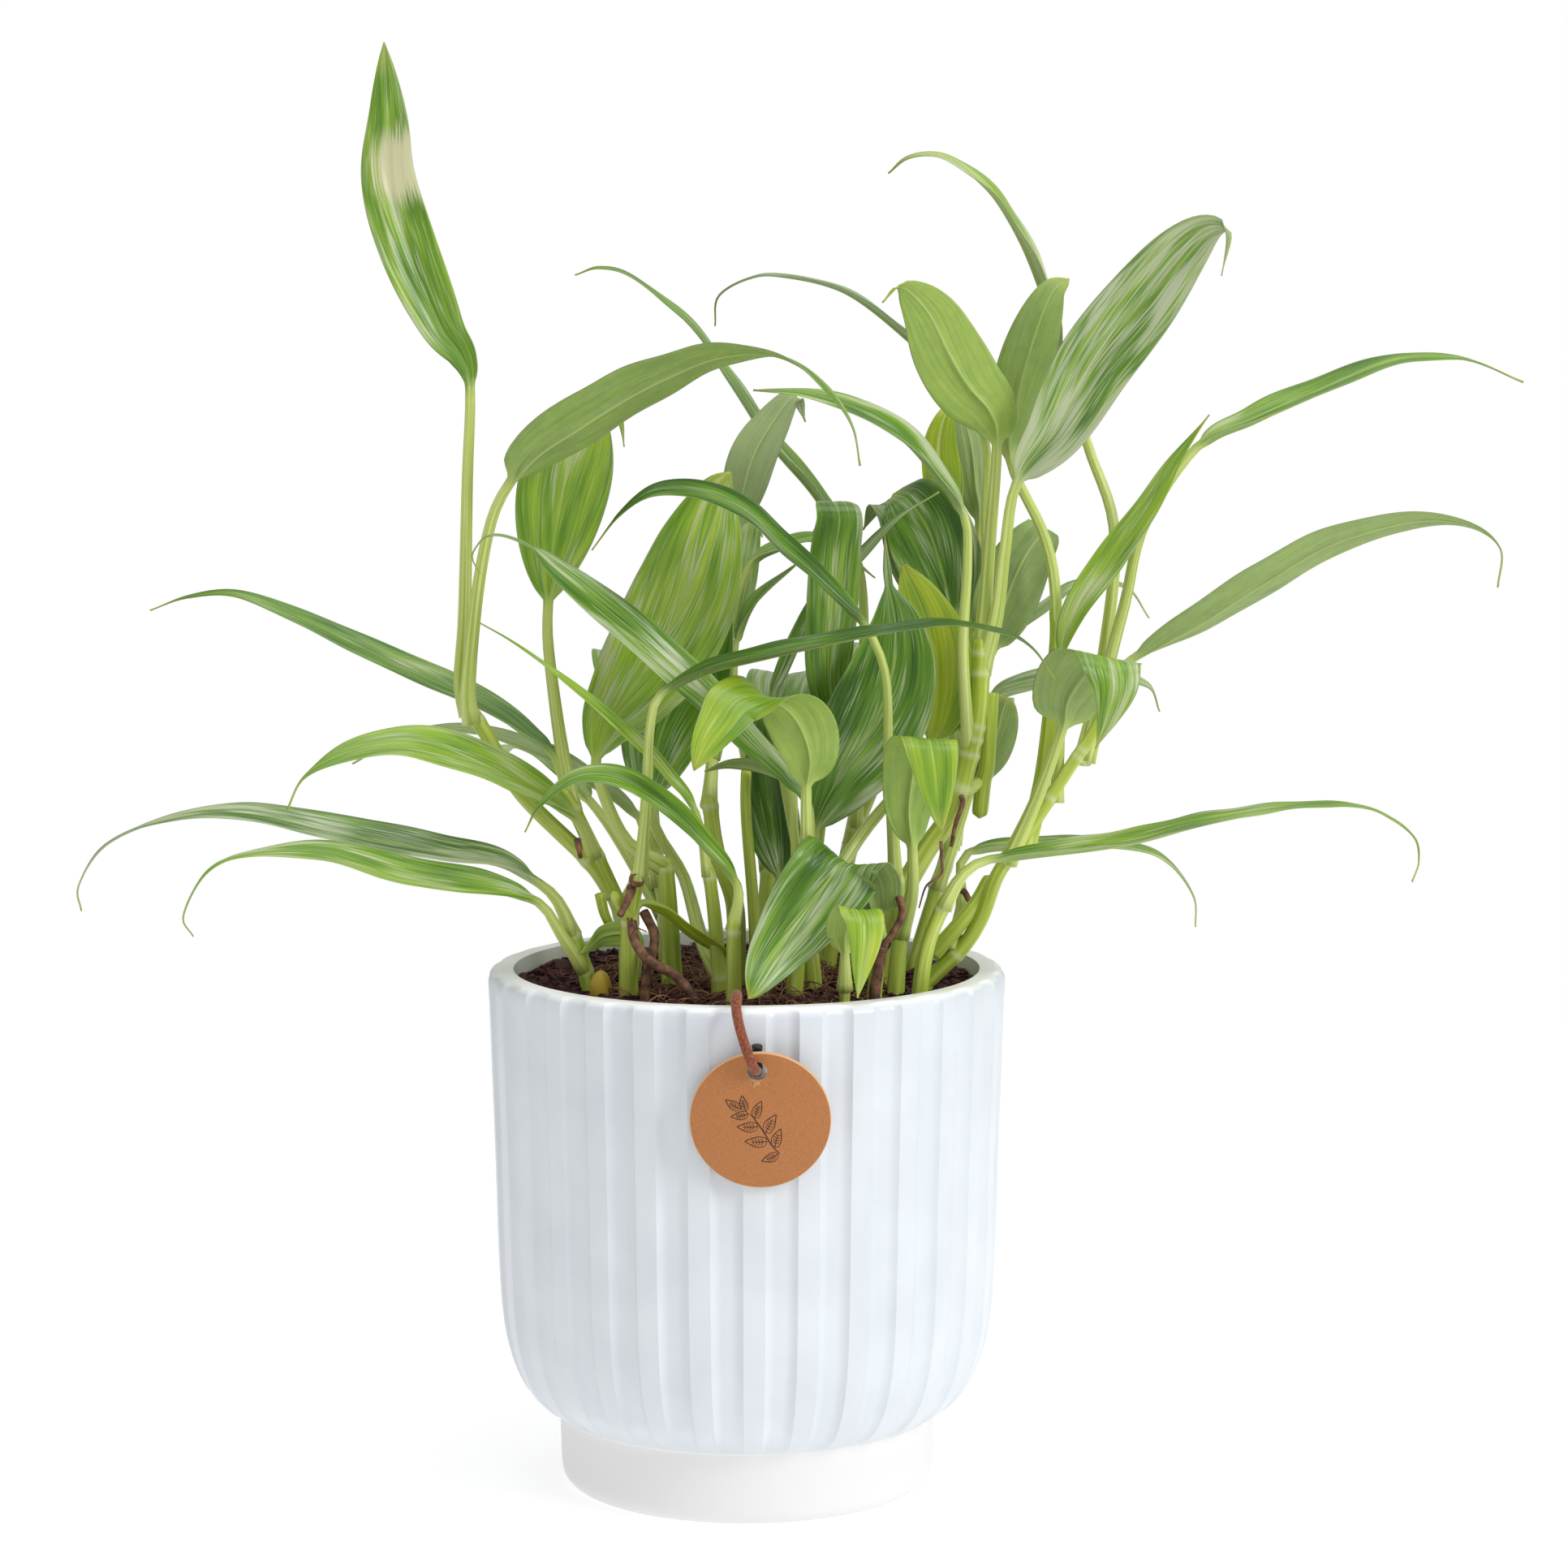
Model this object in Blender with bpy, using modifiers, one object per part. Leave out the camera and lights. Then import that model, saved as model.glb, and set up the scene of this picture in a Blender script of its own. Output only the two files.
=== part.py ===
"""A silver-streak pothos in a fluted white ceramic cover pot, with a round leather tag on a lace.

Lengths below are millimetres; the meshes are built in metres. The origin is the centre of the
foot's flat underside, +Z is up and the side with the tag looks along -Y.
"""
import math
from collections import namedtuple

import bmesh
import bpy
from mathutils import Matrix, Vector

MM = 0.001
GAP = 0.3

# Pot: a thick ceramic wall, concave flutes down the bowl, a smooth foot.
RIM_RADIUS = 70.0
POT_HEIGHT = 142.0
RIM_INNER_RADIUS = 63.0
FOOT_RADIUS = 51.2
FOOT_HEIGHT = 20.0
FOOT_ROUNDING = 4.4
FLOOR_HEIGHT = 7.0
WALL_THICKNESS = RIM_RADIUS - RIM_INNER_RADIUS
FLUTES = 30
FLUTE_DEPTH = 1.2
FLUTE_SHARE = 0.57
FLUTE_FLOOR_SHARE = 0.30
FLUTE_PHASE = math.radians(-3.9)
# Outer wall of the bowl between the foot and the rim, as (radius, height).
BOWL = [(52.4, 20.6), (58.3, 24.6), (62.5, 31.0), (66.2, 42.0), (67.7, 63.0)]
RIM_ROUNDING = [(66.0, POT_HEIGHT), (69.1, 141.2), (RIM_RADIUS, 138.6)]
INNER_WALL = [(46.0, FLOOR_HEIGHT), (60.0, 44.0), (RIM_INNER_RADIUS, 90.0)]
INNER_EDGE = (RIM_INNER_RADIUS, 140.6)

SOIL_TOP = 138.0
SOIL_CLEARANCE = 0.5
HOLE_DEPTH = 12.0
HOLE_PLAY = 0.7
STEM_FOOT = SOIL_TOP - HOLE_DEPTH + GAP

# Tag of kraft leather on a round suede lace.
TAG_RADIUS = 18.1
TAG_THICKNESS = 1.8
TAG_CENTRE = Vector((4.1, -72.5, 113.8))
TAG_LEAN = math.radians(7.5)
TAG_HOLE_RADIUS = 2.5
TAG_HOLE_UP = 13.1
TAG_HOLE_SIDE = -0.8
LACE_RADIUS = 1.3
LACE_ROUTE = [
    (-1.9, -61.0, 127.5), (-1.9, -61.0, 131.5), (-1.9, -61.0, 135.5), (-1.9, -61.0, 139.2),
    (-1.9, -61.8, 142.2), (-1.9, -64.0, 144.4), (-2.0, -67.0, 145.2), (-2.1, -69.6, 144.7),
    (-2.1, -71.8, 143.3), (-1.8, -74.4, 141.1), (-1.1, -77.2, 138.5), (-0.3, -79.0, 135.9),
    (0.7, -79.6, 132.9), (1.8, -78.8, 129.9), (2.7, -76.7, 127.6), (3.2, -73.7, 126.7),
]
KNOT_ROUTE = [(3.3, -71.45, 125.0), (3.3, -71.45, 126.6), (3.3, -71.45, 128.4), (3.3, -71.8, 130.5),
              (3.3, -72.2, 134.0)]
KNOT_RADII = [1.0, 1.5, 1.45, 1.0, 0.9]

# Leaves and stems.
BLADE_THICKNESS = 0.7
BLADE_END_WIDTH = 1.2
BLADE_ROWS = 8
BLADE_FOLD = 0.35
BLADE_WIDEST = 0.37
BROAD = 22
STALK_INTO_BLADE = 5.0
STALK_RADIUS = 1.45
STALK_FOOT = 1.2
STALK_TOP = 0.8
STEP = 18.0

Leaf = namedtuple("Leaf", "stalk rib width edge edge_tip", defaults=(None,))
Stem = namedtuple("Stem", "path radius tip_radius")

# Each shoot has its stems and leaves. A stalk starts on its stem and ends where the blade's rib
# starts; edge points to the blade's left edge, seen from its upper side with the tip up.
SHOOTS = {
    "shoot_tall_left": (
        [Stem([(-32, 0, 138), (-33, 0, 153), (-38, 0, 166), (-46, 1, 183), (-50, 2, 190)], 2.8, 1.8),
         Stem([(-36, 0, 161), (-43, 0, 171), (-61, 1, 189), (-71, 2, 206), (-76, 2, 213)], 2.2, 2.0)],
        [Leaf([(-75, 2, 210), (-77, 3, 219), (-76, 3, 237), (-75, 4, 272), (-75, 4, 297)],
              [(-75, 4, 298), (-81, 6, 315), (-91, 8, 336), (-96, 10, 358), (-97, 12, 375), (-97, 14, 390)],
              16, (-1, -0.2, -0.3)),
         Leaf([(-74, 1, 208), (-75, 0, 217), (-72, -2, 244), (-68, -4, 263), (-65, -6, 272)],
              [(-65, -6, 272), (-47, -10, 284), (-21, -14, 301), (5, -20, 307), (17, -25, 302),
               (25, -29, 293), (29, -32, 283), (28, -34, 277)], 17, (0, 0.6, -0.8), (0.5, 0.85, 0.1)),
         Leaf([(-47, 2, 184), (-50, 8, 199), (-52, 10, 212), (-54, 12, 229), (-54, 14, 239)],
              [(-54, 14, 239), (-51, 15, 253), (-47, 16, 270), (-43, 16, 284), (-40, 15, 292),
               (-36, 13, 293), (-34, 11, 288), (-33, 10, 280)], 26, (-1, 0, 0.1)),
         Leaf([(-47, 2, 184), (-52, 8, 199)],
              [(-52, 8, 199), (-60, 13, 204), (-71, 16, 212), (-89, 19, 221), (-106, 22, 228),
               (-123, 24, 236), (-140, 27, 241), (-154, 30, 241), (-164, 33, 236)], 16, (0, -0.9, -0.45)),
         Leaf([(-41, 0, 172), (-46, -4, 184)],
              [(-46, -4, 184), (-61, -9, 194), (-75, -15, 201), (-90, -20, 205), (-105, -25, 203),
               (-116, -31, 198), (-120, -36, 190)], 17, (0, -0.85, -0.5)),
         Leaf([(-34, 0, 156), (-29, 6, 168), (-29, 10, 181)],
              [(-29, 10, 181), (-46, 15, 194), (-60, 18, 200), (-75, 21, 204), (-93, 24, 203),
               (-109, 27, 194)], 15, (0, -0.9, 0.35))]),
    "shoot_low_left": (
        [Stem([(-42, -20, 138), (-44, -20, 148), (-47, -19, 156)], 2.4, 1.8)],
        [Leaf([(-46, -19, 153), (-50, -18, 162), (-55, -18, 168)],
              [(-55, -18, 168), (-65, -18, 174), (-82, -17, 177), (-108, -16, 182), (-134, -16, 187),
               (-155, -16, 185), (-171, -15, 178), (-180, -14, 167), (-179, -14, 160)],
              16, (0, -0.9, -0.4)),
         Leaf([(-43, -20, 144), (-49, -23, 154), (-55, -25, 162)],
              [(-55, -25, 162), (-68, -29, 167), (-89, -33, 171), (-110, -36, 177), (-129, -40, 177),
               (-140, -44, 173), (-146, -48, 162), (-143, -52, 157)], 16, (0, -0.9, -0.45)),
         Leaf([(-42, -20, 140), (-37, -21, 145)],
              [(-37, -21, 146), (-38, -22, 153), (-42, -24, 155), (-45, -28, 150)], 6, (0.8, -0.5, 0))]),
    "shoot_scarred": (
        [Stem([(-31, -28, 138), (-31, -28, 152), (-30, -29, 163), (-28, -31, 173)], 2.9, 1.9),
         Stem([(-30, -29, 158), (-33, -31, 163), (-35, -32, 167)], 1.6, 1.3)],
        [Leaf([(-28, -31, 170), (-26, -34, 192), (-25, -37, 210), (-22, -40, 221)],
              [(-22, -40, 221), (-10, -41, 228), (5, -42, 232), (30, -44, 237), (51, -46, 240),
               (66, -48, 238), (74, -50, 234), (80, -52, 226)], 13, (0, 1, 0.15)),
         Leaf([(-31, -28, 150), (-26, -29, 158)],
              [(-26, -29, 159), (-20, -31, 161), (-13, -34, 157), (-8, -36, 149)], 6, (0, 1, 0.3))]),
    "shoot_broad_left": (
        [Stem([(-20, -8, 138), (-21, -8, 159), (-22, -8, 173)], 3.2, 2.2)],
        [Leaf([(-22, -8, 170), (-32, -10, 177), (-38, -12, 190), (-39, -14, 200)],
              [(-39, -14, 200), (-33, -12, 218), (-27, -9, 235), (-19, -6, 253), (-12, -4, 267)],
              22, (-0.9, 0, 0.4))]),
    "shoot_narrow": (
        [Stem([(-7, -24, 138), (-8, -24, 156), (-10, -25, 173)], 2.4, 1.6)],
        [Leaf([(-10, -25, 170), (-14, -26, 185)],
              [(-14, -26, 185), (-21, -25, 198), (-32, -25, 209), (-42, -26, 219), (-55, -28, 229),
               (-72, -30, 238)], 10, (-0.35, -0.8, -0.45)),
         Leaf([(-7, -24, 143), (-12, -16, 152), (-17, 1, 166), (-24, 2, 178), (-26, 2, 187)],
              [(-26, 2, 187), (-22, 3, 206), (-13, 5, 228), (-7, 8, 249), (-3, 10, 275)],
              24, (-1, 0, 0.2))]),
    "shoot_front_fold": (
        [Stem([(13, -26, 138), (14, -28, 152), (15, -31, 166)], 2.6, 1.8)],
        [Leaf([(15, -31, 163), (16, -34, 180), (16, -36, 192)],
              [(16, -36, 192), (14, -40, 206), (9, -45, 217), (-1, -49, 221), (-7, -54, 214),
               (-11, -58, 201)], 17, (0.9, 0.3, 0.2), (0.8, -0.2, -0.5)),
         Leaf([(14, -28, 152), (12, -26, 165), (12, -27, 179)],
              [(12, -27, 179), (8, -27, 191), (2, -26, 201), (-6, -25, 210), (-21, -24, 223),
               (-38, -23, 238), (-53, -22, 253), (-62, -22, 259), (-69, -22, 259), (-70, -22, 250)],
              14, (-0.4, -0.7, -0.55)),
         Leaf([(14, -27, 165), (13, -22, 182), (12, -20, 194)],
              [(12, -20, 194), (5, -19, 198), (-4, -18, 199), (-11, -17, 197)], 9, (0, -0.8, 0.5))]),
    "shoot_front_arch": (
        [Stem([(-3, -40, 138), (-3, -41, 153), (-3, -42, 162)], 2.4, 1.7)],
        [Leaf([(-3, -41, 158), (-2, -42, 170)],
              [(-2, -42, 170), (-10, -43, 181), (-21, -45, 192), (-33, -46, 199), (-44, -47, 199),
               (-53, -49, 192), (-57, -50, 185)], 12, (0, -0.85, -0.45))]),
    "shoot_centre": (
        [Stem([(-3, -10, 138), (-3, -12, 160), (-8, -12, 175), (-10, -10, 190)], 3.0, 2.0)],
        [Leaf([(-10, -10, 187), (-9, 8, 202), (-8, 16, 225), (-5, 19, 245), (-3, 21, 259)],
              [(-3, 21, 259), (1, 22, 277), (7, 25, 288), (13, 28, 295), (16, 30, 288)],
              13, (0.85, 0, -0.5)),
         Leaf([(-9, 6, 200), (-6, 13, 218), (-4, 14, 236), (1, 15, 250)],
              [(1, 15, 250), (9, 17, 255), (18, 18, 257), (26, 19, 253), (35, 19, 246)],
              9, (0, 1, 0.3)),
         Leaf([(-9, 4, 198), (-4, 10, 214), (-3, 13, 229)],
              [(-3, 13, 229), (2, 17, 240), (14, 22, 250)], 8, (0, 1, 0.4))]),
    "shoot_long_arch": (
        [Stem([(40, -22, 138), (41, -19, 155), (40, -18, 171)], 2.6, 1.8)],
        [Leaf([(40, -18, 168), (38, -21, 200), (37, -24, 223), (33, -24, 233)],
              [(33, -24, 233), (22, -26, 251), (9, -27, 263), (-5, -29, 273), (-17, -31, 275),
               (-31, -32, 270), (-40, -34, 258)], 14, (0, -0.8, -0.5)),
         Leaf([(41, -19, 153), (44, -25, 165), (43, -29, 178)],
              [(43, -29, 178), (42, -31, 192), (43, -34, 204), (47, -38, 207), (51, -41, 199),
               (52, -44, 184)], 15, (1, 0.1, 0))]),
    "shoot_broad_front": (
        [Stem([(18, -12, 138), (17, -12, 150), (17, -13, 163)], 2.8, 2.0)],
        [Leaf([(17, -13, 160), (18, -14, 180)],
              [(18, -14, 180), (24, -12, 197), (33, -10, 214), (39, -8, 229), (40, -6, 240),
               (37, -4, 257)], 24, (-0.9, 0, 0.35)),
         Leaf([(17, -12, 157), (22, -4, 185), (34, 0, 215), (42, 2, 234)],
              [(42, 2, 234), (42, 3, 243), (43, 4, 253)], 10, (-1, 0, 0)),
         Leaf([(17, -11, 160), (21, -3, 189), (24, 0, 204)],
              [(24, 0, 204), (22, 1, 221), (23, 1, 239), (24, 0, 257), (23, -4, 264), (20, -8, 260)],
              14, (-1, 0, 0.1)),
         Leaf([(17, -10, 158), (10, 4, 192), (7, 8, 212)],
              [(7, 8, 212), (9, 8, 220), (18, 8, 239), (31, 8, 253), (45, 9, 264)],
              10, (-0.3, 0.9, 0.25))]),
    "shoot_tag_leaf": (
        [Stem([(34, -34, 138), (35, -33, 149), (35, -33, 156)], 2.3, 1.7)],
        [Leaf([(35, -33, 153), (35, -33, 161)],
              [(35, -33, 161), (32, -36, 174), (27, -42, 181), (18, -48, 172), (9, -52, 160),
               (4, -54, 150), (2, -55, 144)], 24, (0.9, 0, -0.42), (0.85, 0, -0.53))]),
    "shoot_small_front": (
        [Stem([(26, -46, 138), (26, -46, 146)], 1.6, 1.3)],
        [Leaf([(26, -46, 143), (26, -46, 150)],
              [(26, -46, 150), (27, -51, 158), (30, -55, 162), (30, -57, 156), (28, -58, 147)],
              10, (1, 0, 0))]),
    "shoot_big": (
        [Stem([(36, -6, 138), (38, -7, 152), (42, -7, 163), (48, -7, 174), (56, -7, 187),
               (62, -6, 211), (63, -5, 232)], 3.3, 2.3)],
        [Leaf([(63, -4, 228), (65, -2, 254), (67, -2, 283)],
              [(67, -2, 283), (63, -4, 296), (57, -6, 303), (51, -8, 313), (45, -10, 323),
               (40, -12, 326), (36, -14, 323)], 25, (0.88, 0, 0.45)),
         Leaf([(63, -5, 222), (67, -7, 238), (69, -8, 255), (71, -8, 273)],
              [(71, -8, 273), (80, -11, 289), (90, -14, 307), (103, -17, 324), (114, -19, 335),
               (121, -22, 339), (125, -25, 336), (126, -27, 328)], 25, (-0.76, 0, 0.63)),
         Leaf([(60, -6, 200), (58, -11, 229), (59, -11, 251), (58, -12, 266)],
              [(58, -12, 266), (50, -12, 279), (41, -12, 288), (30, -12, 294), (17, -13, 298),
               (2, -14, 299)], 14, (0, -0.9, -0.4)),
         Leaf([(61, -5, 204), (64, 7, 219), (66, 10, 227)],
              [(66, 10, 227), (70, 11, 240), (75, 13, 252), (78, 17, 258), (78, 22, 254), (76, 25, 245)],
              16, (0.85, 0, -0.5)),
         Leaf([(58, -7, 190), (63, 2, 192), (65, 7, 195)],
              [(65, 7, 195), (69, 9, 205), (71, 11, 215)], 10, (0.9, 0.3, -0.3)),
         Leaf([(58, -7, 192), (57, 8, 215), (57, 16, 235)],
              [(57, 16, 235), (52, 17, 251), (46, 18, 271)], 20, (-0.85, 0, -0.5)),
         Leaf([(60, -5, 200), (54, 18, 218), (49, 26, 237)],
              [(49, 26, 237), (45, 27, 251), (41, 29, 262), (36, 33, 265), (32, 37, 258)],
              13, (-1, 0, -0.2)),
         Leaf([(62, -6, 208), (65, 10, 235), (65, 18, 262), (65, 20, 284)],
              [(65, 20, 284), (57, 23, 299), (44, 27, 312), (27, 30, 324), (9, 34, 328), (0, 37, 327),
               (-8, 41, 322), (-9, 44, 314)], 12, (0, -1, -0.05))]),
    "shoot_right": (
        [Stem([(49, -13, 138), (51, -13, 144), (57, -14, 150), (64, -13, 155), (70, -13, 163), (75, -13, 175),
               (83, -12, 188), (91, -12, 202)], 3.2, 2.4)],
        [Leaf([(75, -12, 175), (80, -5, 196), (83, -2, 228), (83, 2, 245), (80, 5, 259), (71, 8, 279)],
              [(71, 8, 279), (75, 10, 297), (80, 11, 313), (84, 12, 324), (88, 14, 327)],
              14, (0.93, 0, -0.35)),
         Leaf([(90, -11, 199), (97, 7, 227), (101, 15, 259), (94, 21, 283), (86, 23, 306)],
              [(86, 23, 306), (83, 27, 317), (78, 31, 334), (69, 36, 350), (57, 41, 360),
               (47, 45, 361), (37, 50, 355)], 13, (0, -0.95, -0.25)),
         Leaf([(91, -11, 201), (98, 0, 226), (102, 2, 241), (107, 4, 261), (121, 6, 281)],
              [(121, 6, 281), (136, 9, 290), (153, 13, 298), (171, 16, 304), (183, 19, 306),
               (197, 23, 304), (212, 26, 298)], 14, (0, 0.95, 0.3)),
         Leaf([(83, -12, 188), (84, -10, 211), (84, -9, 226)],
              [(84, -9, 226), (88, -7, 239), (97, -4, 252), (107, -2, 266), (115, 0, 279), (124, 2, 291)],
              9, (-0.5, 0.6, 0.5)),
         Leaf([(91, -12, 199), (97, -9, 218), (103, -8, 226)],
              [(103, -8, 226), (121, -11, 237), (138, -14, 248), (155, -17, 258), (176, -21, 265),
               (188, -24, 264), (196, -27, 257), (196, -30, 247)], 17, (0.5, 0.55, -0.58)),
         Leaf([(73, -13, 170), (78, -17, 191), (83, -20, 207)],
              [(83, -20, 207), (87, -21, 218), (91, -25, 226), (94, -31, 226), (95, -36, 218),
               (94, -38, 205)], 18, (0.9, -0.3, 0.1)),
         Leaf([(55, -13, 148), (58, -6, 160), (60, 0, 174)],
              [(60, 0, 174), (85, 5, 176), (106, 10, 174), (116, 14, 169), (123, 19, 159),
               (124, 24, 150)], 12, (0, 1, 0.1))]),
    "shoot_low_right": (
        [Stem([(46, -33, 138), (48, -34, 153), (53, -35, 166)], 2.5, 1.8)],
        [Leaf([(52, -35, 163), (57, -36, 172), (64, -36, 177)],
              [(64, -36, 177), (80, -38, 180), (101, -39, 183), (120, -41, 188), (144, -42, 192),
               (160, -44, 192), (168, -45, 189), (174, -47, 184), (175, -48, 178), (173, -50, 173)],
              15, (0, 1, 0.15))]),
    "shoot_back_left": (
        [Stem([(-22, 22, 138), (-23, 24, 155), (-26, 28, 172)], 2.8, 1.9)],
        [Leaf([(-26, 28, 169), (-27, 31, 191)],
              [(-27, 31, 191), (-32, 42, 212), (-36, 60, 222), (-36, 80, 214), (-34, 92, 198)],
              18, (-1, 0, 0)),
         Leaf([(-24, 25, 160), (-33, 28, 182), (-38, 31, 200), (-37, 33, 217)],
              [(-37, 33, 217), (-34, 36, 236), (-30, 42, 252), (-26, 52, 258), (-22, 62, 250)],
              20, (-1, 0, 0)),
         Leaf([(-23, 24, 152), (-36, 34, 172), (-44, 40, 182)],
              [(-44, 40, 182), (-60, 50, 195), (-78, 62, 196), (-92, 70, 186), (-98, 74, 176)],
              15, (-0.55, -0.8, 0))]),
    "shoot_back_mid": (
        [Stem([(4, 14, 138), (5, 18, 155), (6, 22, 170)], 2.8, 1.9)],
        [Leaf([(5, 18, 153), (7, 14, 165), (8, 12, 176)],
              [(8, 12, 176), (5, 13, 195), (3, 14, 209)], 13, (-1, 0, 0)),
         Leaf([(6, 22, 167), (6, 26, 187)],
              [(6, 26, 187), (8, 38, 206), (10, 56, 216), (12, 76, 212), (13, 92, 198), (13, 98, 188)],
              20, (-1, 0, 0)),
         Leaf([(6, 21, 165), (-1, 26, 200), (-6, 29, 226)],
              [(-6, 29, 226), (-6, 35, 245), (-4, 45, 258), (0, 57, 262), (4, 69, 254)],
              18, (-1, 0, 0))]),
    "shoot_back_centre": (
        [Stem([(22, 18, 138), (26, 19, 160), (30, 20, 180)], 2.8, 1.9)],
        [Leaf([(30, 20, 177), (32, 25, 215), (30, 29, 248)],
              [(30, 29, 248), (20, 33, 267), (7, 37, 282), (-5, 41, 299), (-16, 44, 314), (-32, 47, 327),
               (-42, 50, 330), (-49, 53, 328)], 15, (0, -1, -0.2)),
         Leaf([(25, 19, 158), (30, 28, 182), (32, 33, 197)],
              [(32, 33, 197), (36, 44, 216), (39, 60, 224), (41, 78, 216), (42, 90, 200)],
              20, (-1, 0, 0)),
         Leaf([(28, 20, 172), (37, 29, 200), (42, 34, 222)],
              [(42, 34, 222), (44, 37, 242), (46, 43, 260), (48, 53, 268), (49, 63, 260)],
              20, (-1, 0, 0))]),
    "shoot_back_right": (
        [Stem([(46, 14, 138), (48, 15, 146), (52, 19, 159), (57, 23, 174)], 2.8, 1.9)],
        [Leaf([(54, 21, 166), (62, 22, 204), (68, 26, 226)],
              [(68, 26, 226), (83, 30, 238), (92, 35, 243), (105, 40, 242), (112, 44, 233)],
              10, (0, 1, 0.2)),
         Leaf([(52, 19, 160), (62, 24, 190), (67, 28, 211)],
              [(67, 28, 211), (83, 32, 217), (98, 35, 218), (111, 38, 215), (115, 42, 207)],
              12, (0, 1, 0.25)),
         Leaf([(56, 22, 171), (59, 30, 187)],
              [(59, 30, 187), (64, 42, 203), (68, 58, 209), (71, 74, 200), (72, 84, 186)],
              18, (-0.95, 0.3, 0)),
         Leaf([(57, 23, 172), (64, 30, 200), (67, 36, 225), (68, 39, 242)],
              [(68, 39, 242), (70, 43, 262), (72, 50, 279), (73, 60, 286), (73, 70, 278)],
              20, (-1, 0, 0))]),
}

# Brown aerial roots that reach down from a stem into the soil.
AERIAL_ROOTS = {
    "root_left": ([(-29.3, -32.7, 158), (-25, -35, 150), (-19, -37, 146), (-14, -38, 144),
                   (-12, -38, 140), (-12, -38, 137), (-12, -38, 130)], 1.2, 1.0),
    "root_right": ([(42, -11.6, 163), (42, -13, 157), (37, -15, 149), (34, -17, 143),
                    (34, -17, 139), (34, -17, 130)], 1.2, 1.0),
}

COLOURS = {
    "pot": ("glazed ceramic", (0.80, 0.84, 0.88), 0.32),
    "soil": ("potting soil", (0.045, 0.020, 0.022), 0.95),
    "tag": ("kraft leather", (0.53, 0.22, 0.065), 0.62),
    "lace": ("suede", (0.26, 0.070, 0.032), 0.85),
    "knot": ("waxed cord", (0.020, 0.015, 0.013), 0.70),
    "shoot": ("leaf", (0.12, 0.32, 0.045), 0.42),
    "root": ("aerial root", (0.10, 0.045, 0.025), 0.80),
}


def clear_scene():
    for old in list(bpy.data.objects):
        bpy.data.objects.remove(old, do_unlink=True)


def new_collection(name):
    collection = bpy.data.collections.new(name)
    bpy.context.scene.collection.children.link(collection)
    return collection


def material_for(kind):
    name, colour, roughness = COLOURS[kind]
    known = bpy.data.materials.get(name)
    if known:
        return known
    made = bpy.data.materials.new(name)
    made.use_nodes = True
    shader = made.node_tree.nodes["Principled BSDF"]
    shader.inputs["Base Color"].default_value = (*colour, 1.0)
    shader.inputs["Roughness"].default_value = roughness
    shader.inputs["Metallic"].default_value = 0.0
    return made


def add_object(name, mesh, collection, kind=None):
    made = bpy.data.objects.new(name, mesh)
    collection.objects.link(made)
    if kind:
        mesh.materials.clear()
        mesh.materials.append(material_for(kind))
    return made


def mesh_of(working, name):
    mesh = bpy.data.meshes.new(name)
    working.to_mesh(mesh)
    working.free()
    return mesh


def evaluated_mesh(thing):
    """The object's mesh with its modifiers applied."""
    bpy.context.view_layer.update()
    graph = bpy.context.evaluated_depsgraph_get()
    return bpy.data.meshes.new_from_object(thing.evaluated_get(graph))


def spline_point(points, t):
    """A Catmull-Rom curve through the points; t runs from 0 to their count less one."""
    last = len(points) - 1
    i = min(int(t), last - 1)
    f = t - i
    p1, p2 = points[i], points[i + 1]
    p0 = points[i - 1] if i else p1 * 2 - p2
    p3 = points[i + 2] if i + 2 <= last else p2 * 2 - p1
    return 0.5 * (
        2 * p1 + (p2 - p0) * f + (2 * p0 - 5 * p1 + 4 * p2 - p3) * f ** 2
        + (3 * p1 - p0 - 3 * p2 + p3) * f ** 3
    )


def evenly_along(points, count):
    """Points at equal steps of length along the curve, the ends among them."""
    points = [Vector(p) for p in points]
    fine = [spline_point(points, (len(points) - 1) * i / 200) for i in range(201)]
    lengths = [0.0]
    for a, b in zip(fine, fine[1:]):
        lengths.append(lengths[-1] + (b - a).length)
    found = []
    j = 0
    for i in range(count):
        wanted = lengths[-1] * i / (count - 1)
        while j < 199 and lengths[j + 1] < wanted:
            j += 1
        share = (wanted - lengths[j]) / (lengths[j + 1] - lengths[j])
        found.append(fine[j].lerp(fine[j + 1], min(max(share, 0.0), 1.0)))
    return found


def path_length(points):
    fine = evenly_along(points, 60)
    return sum((b - a).length for a, b in zip(fine, fine[1:]))


def tube(name, points, radii, collection, resolution=1):
    """A round rod through the points, closed at both ends."""
    curve = bpy.data.curves.new(name, "CURVE")
    curve.dimensions = "3D"
    curve.bevel_depth = MM
    curve.bevel_resolution = resolution
    curve.use_fill_caps = True
    spline = curve.splines.new("POLY")
    spline.points.add(len(points) - 1)
    for place, point, radius in zip(spline.points, points, radii):
        place.co = (*(Vector(point) * MM), 1.0)
        place.radius = radius
    guide = bpy.data.objects.new(name, curve)
    collection.objects.link(guide)
    mesh = evaluated_mesh(guide)
    bpy.data.objects.remove(guide)
    working = bmesh.new()
    working.from_mesh(mesh)
    bmesh.ops.remove_doubles(working, verts=working.verts, dist=1e-6)
    bmesh.ops.recalc_face_normals(working, faces=working.faces)
    working.to_mesh(mesh)
    working.free()
    mesh.materials.clear()
    return add_object(name, mesh, collection)


def tapered_tube(name, points, first, last, collection, resolution=1):
    count = max(2, round(path_length(points) / STEP) + 1)
    places = evenly_along(points, count)
    radii = [first + (last - first) * i / (count - 1) for i in range(count)]
    return tube(name, places, radii, collection, resolution)


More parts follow.
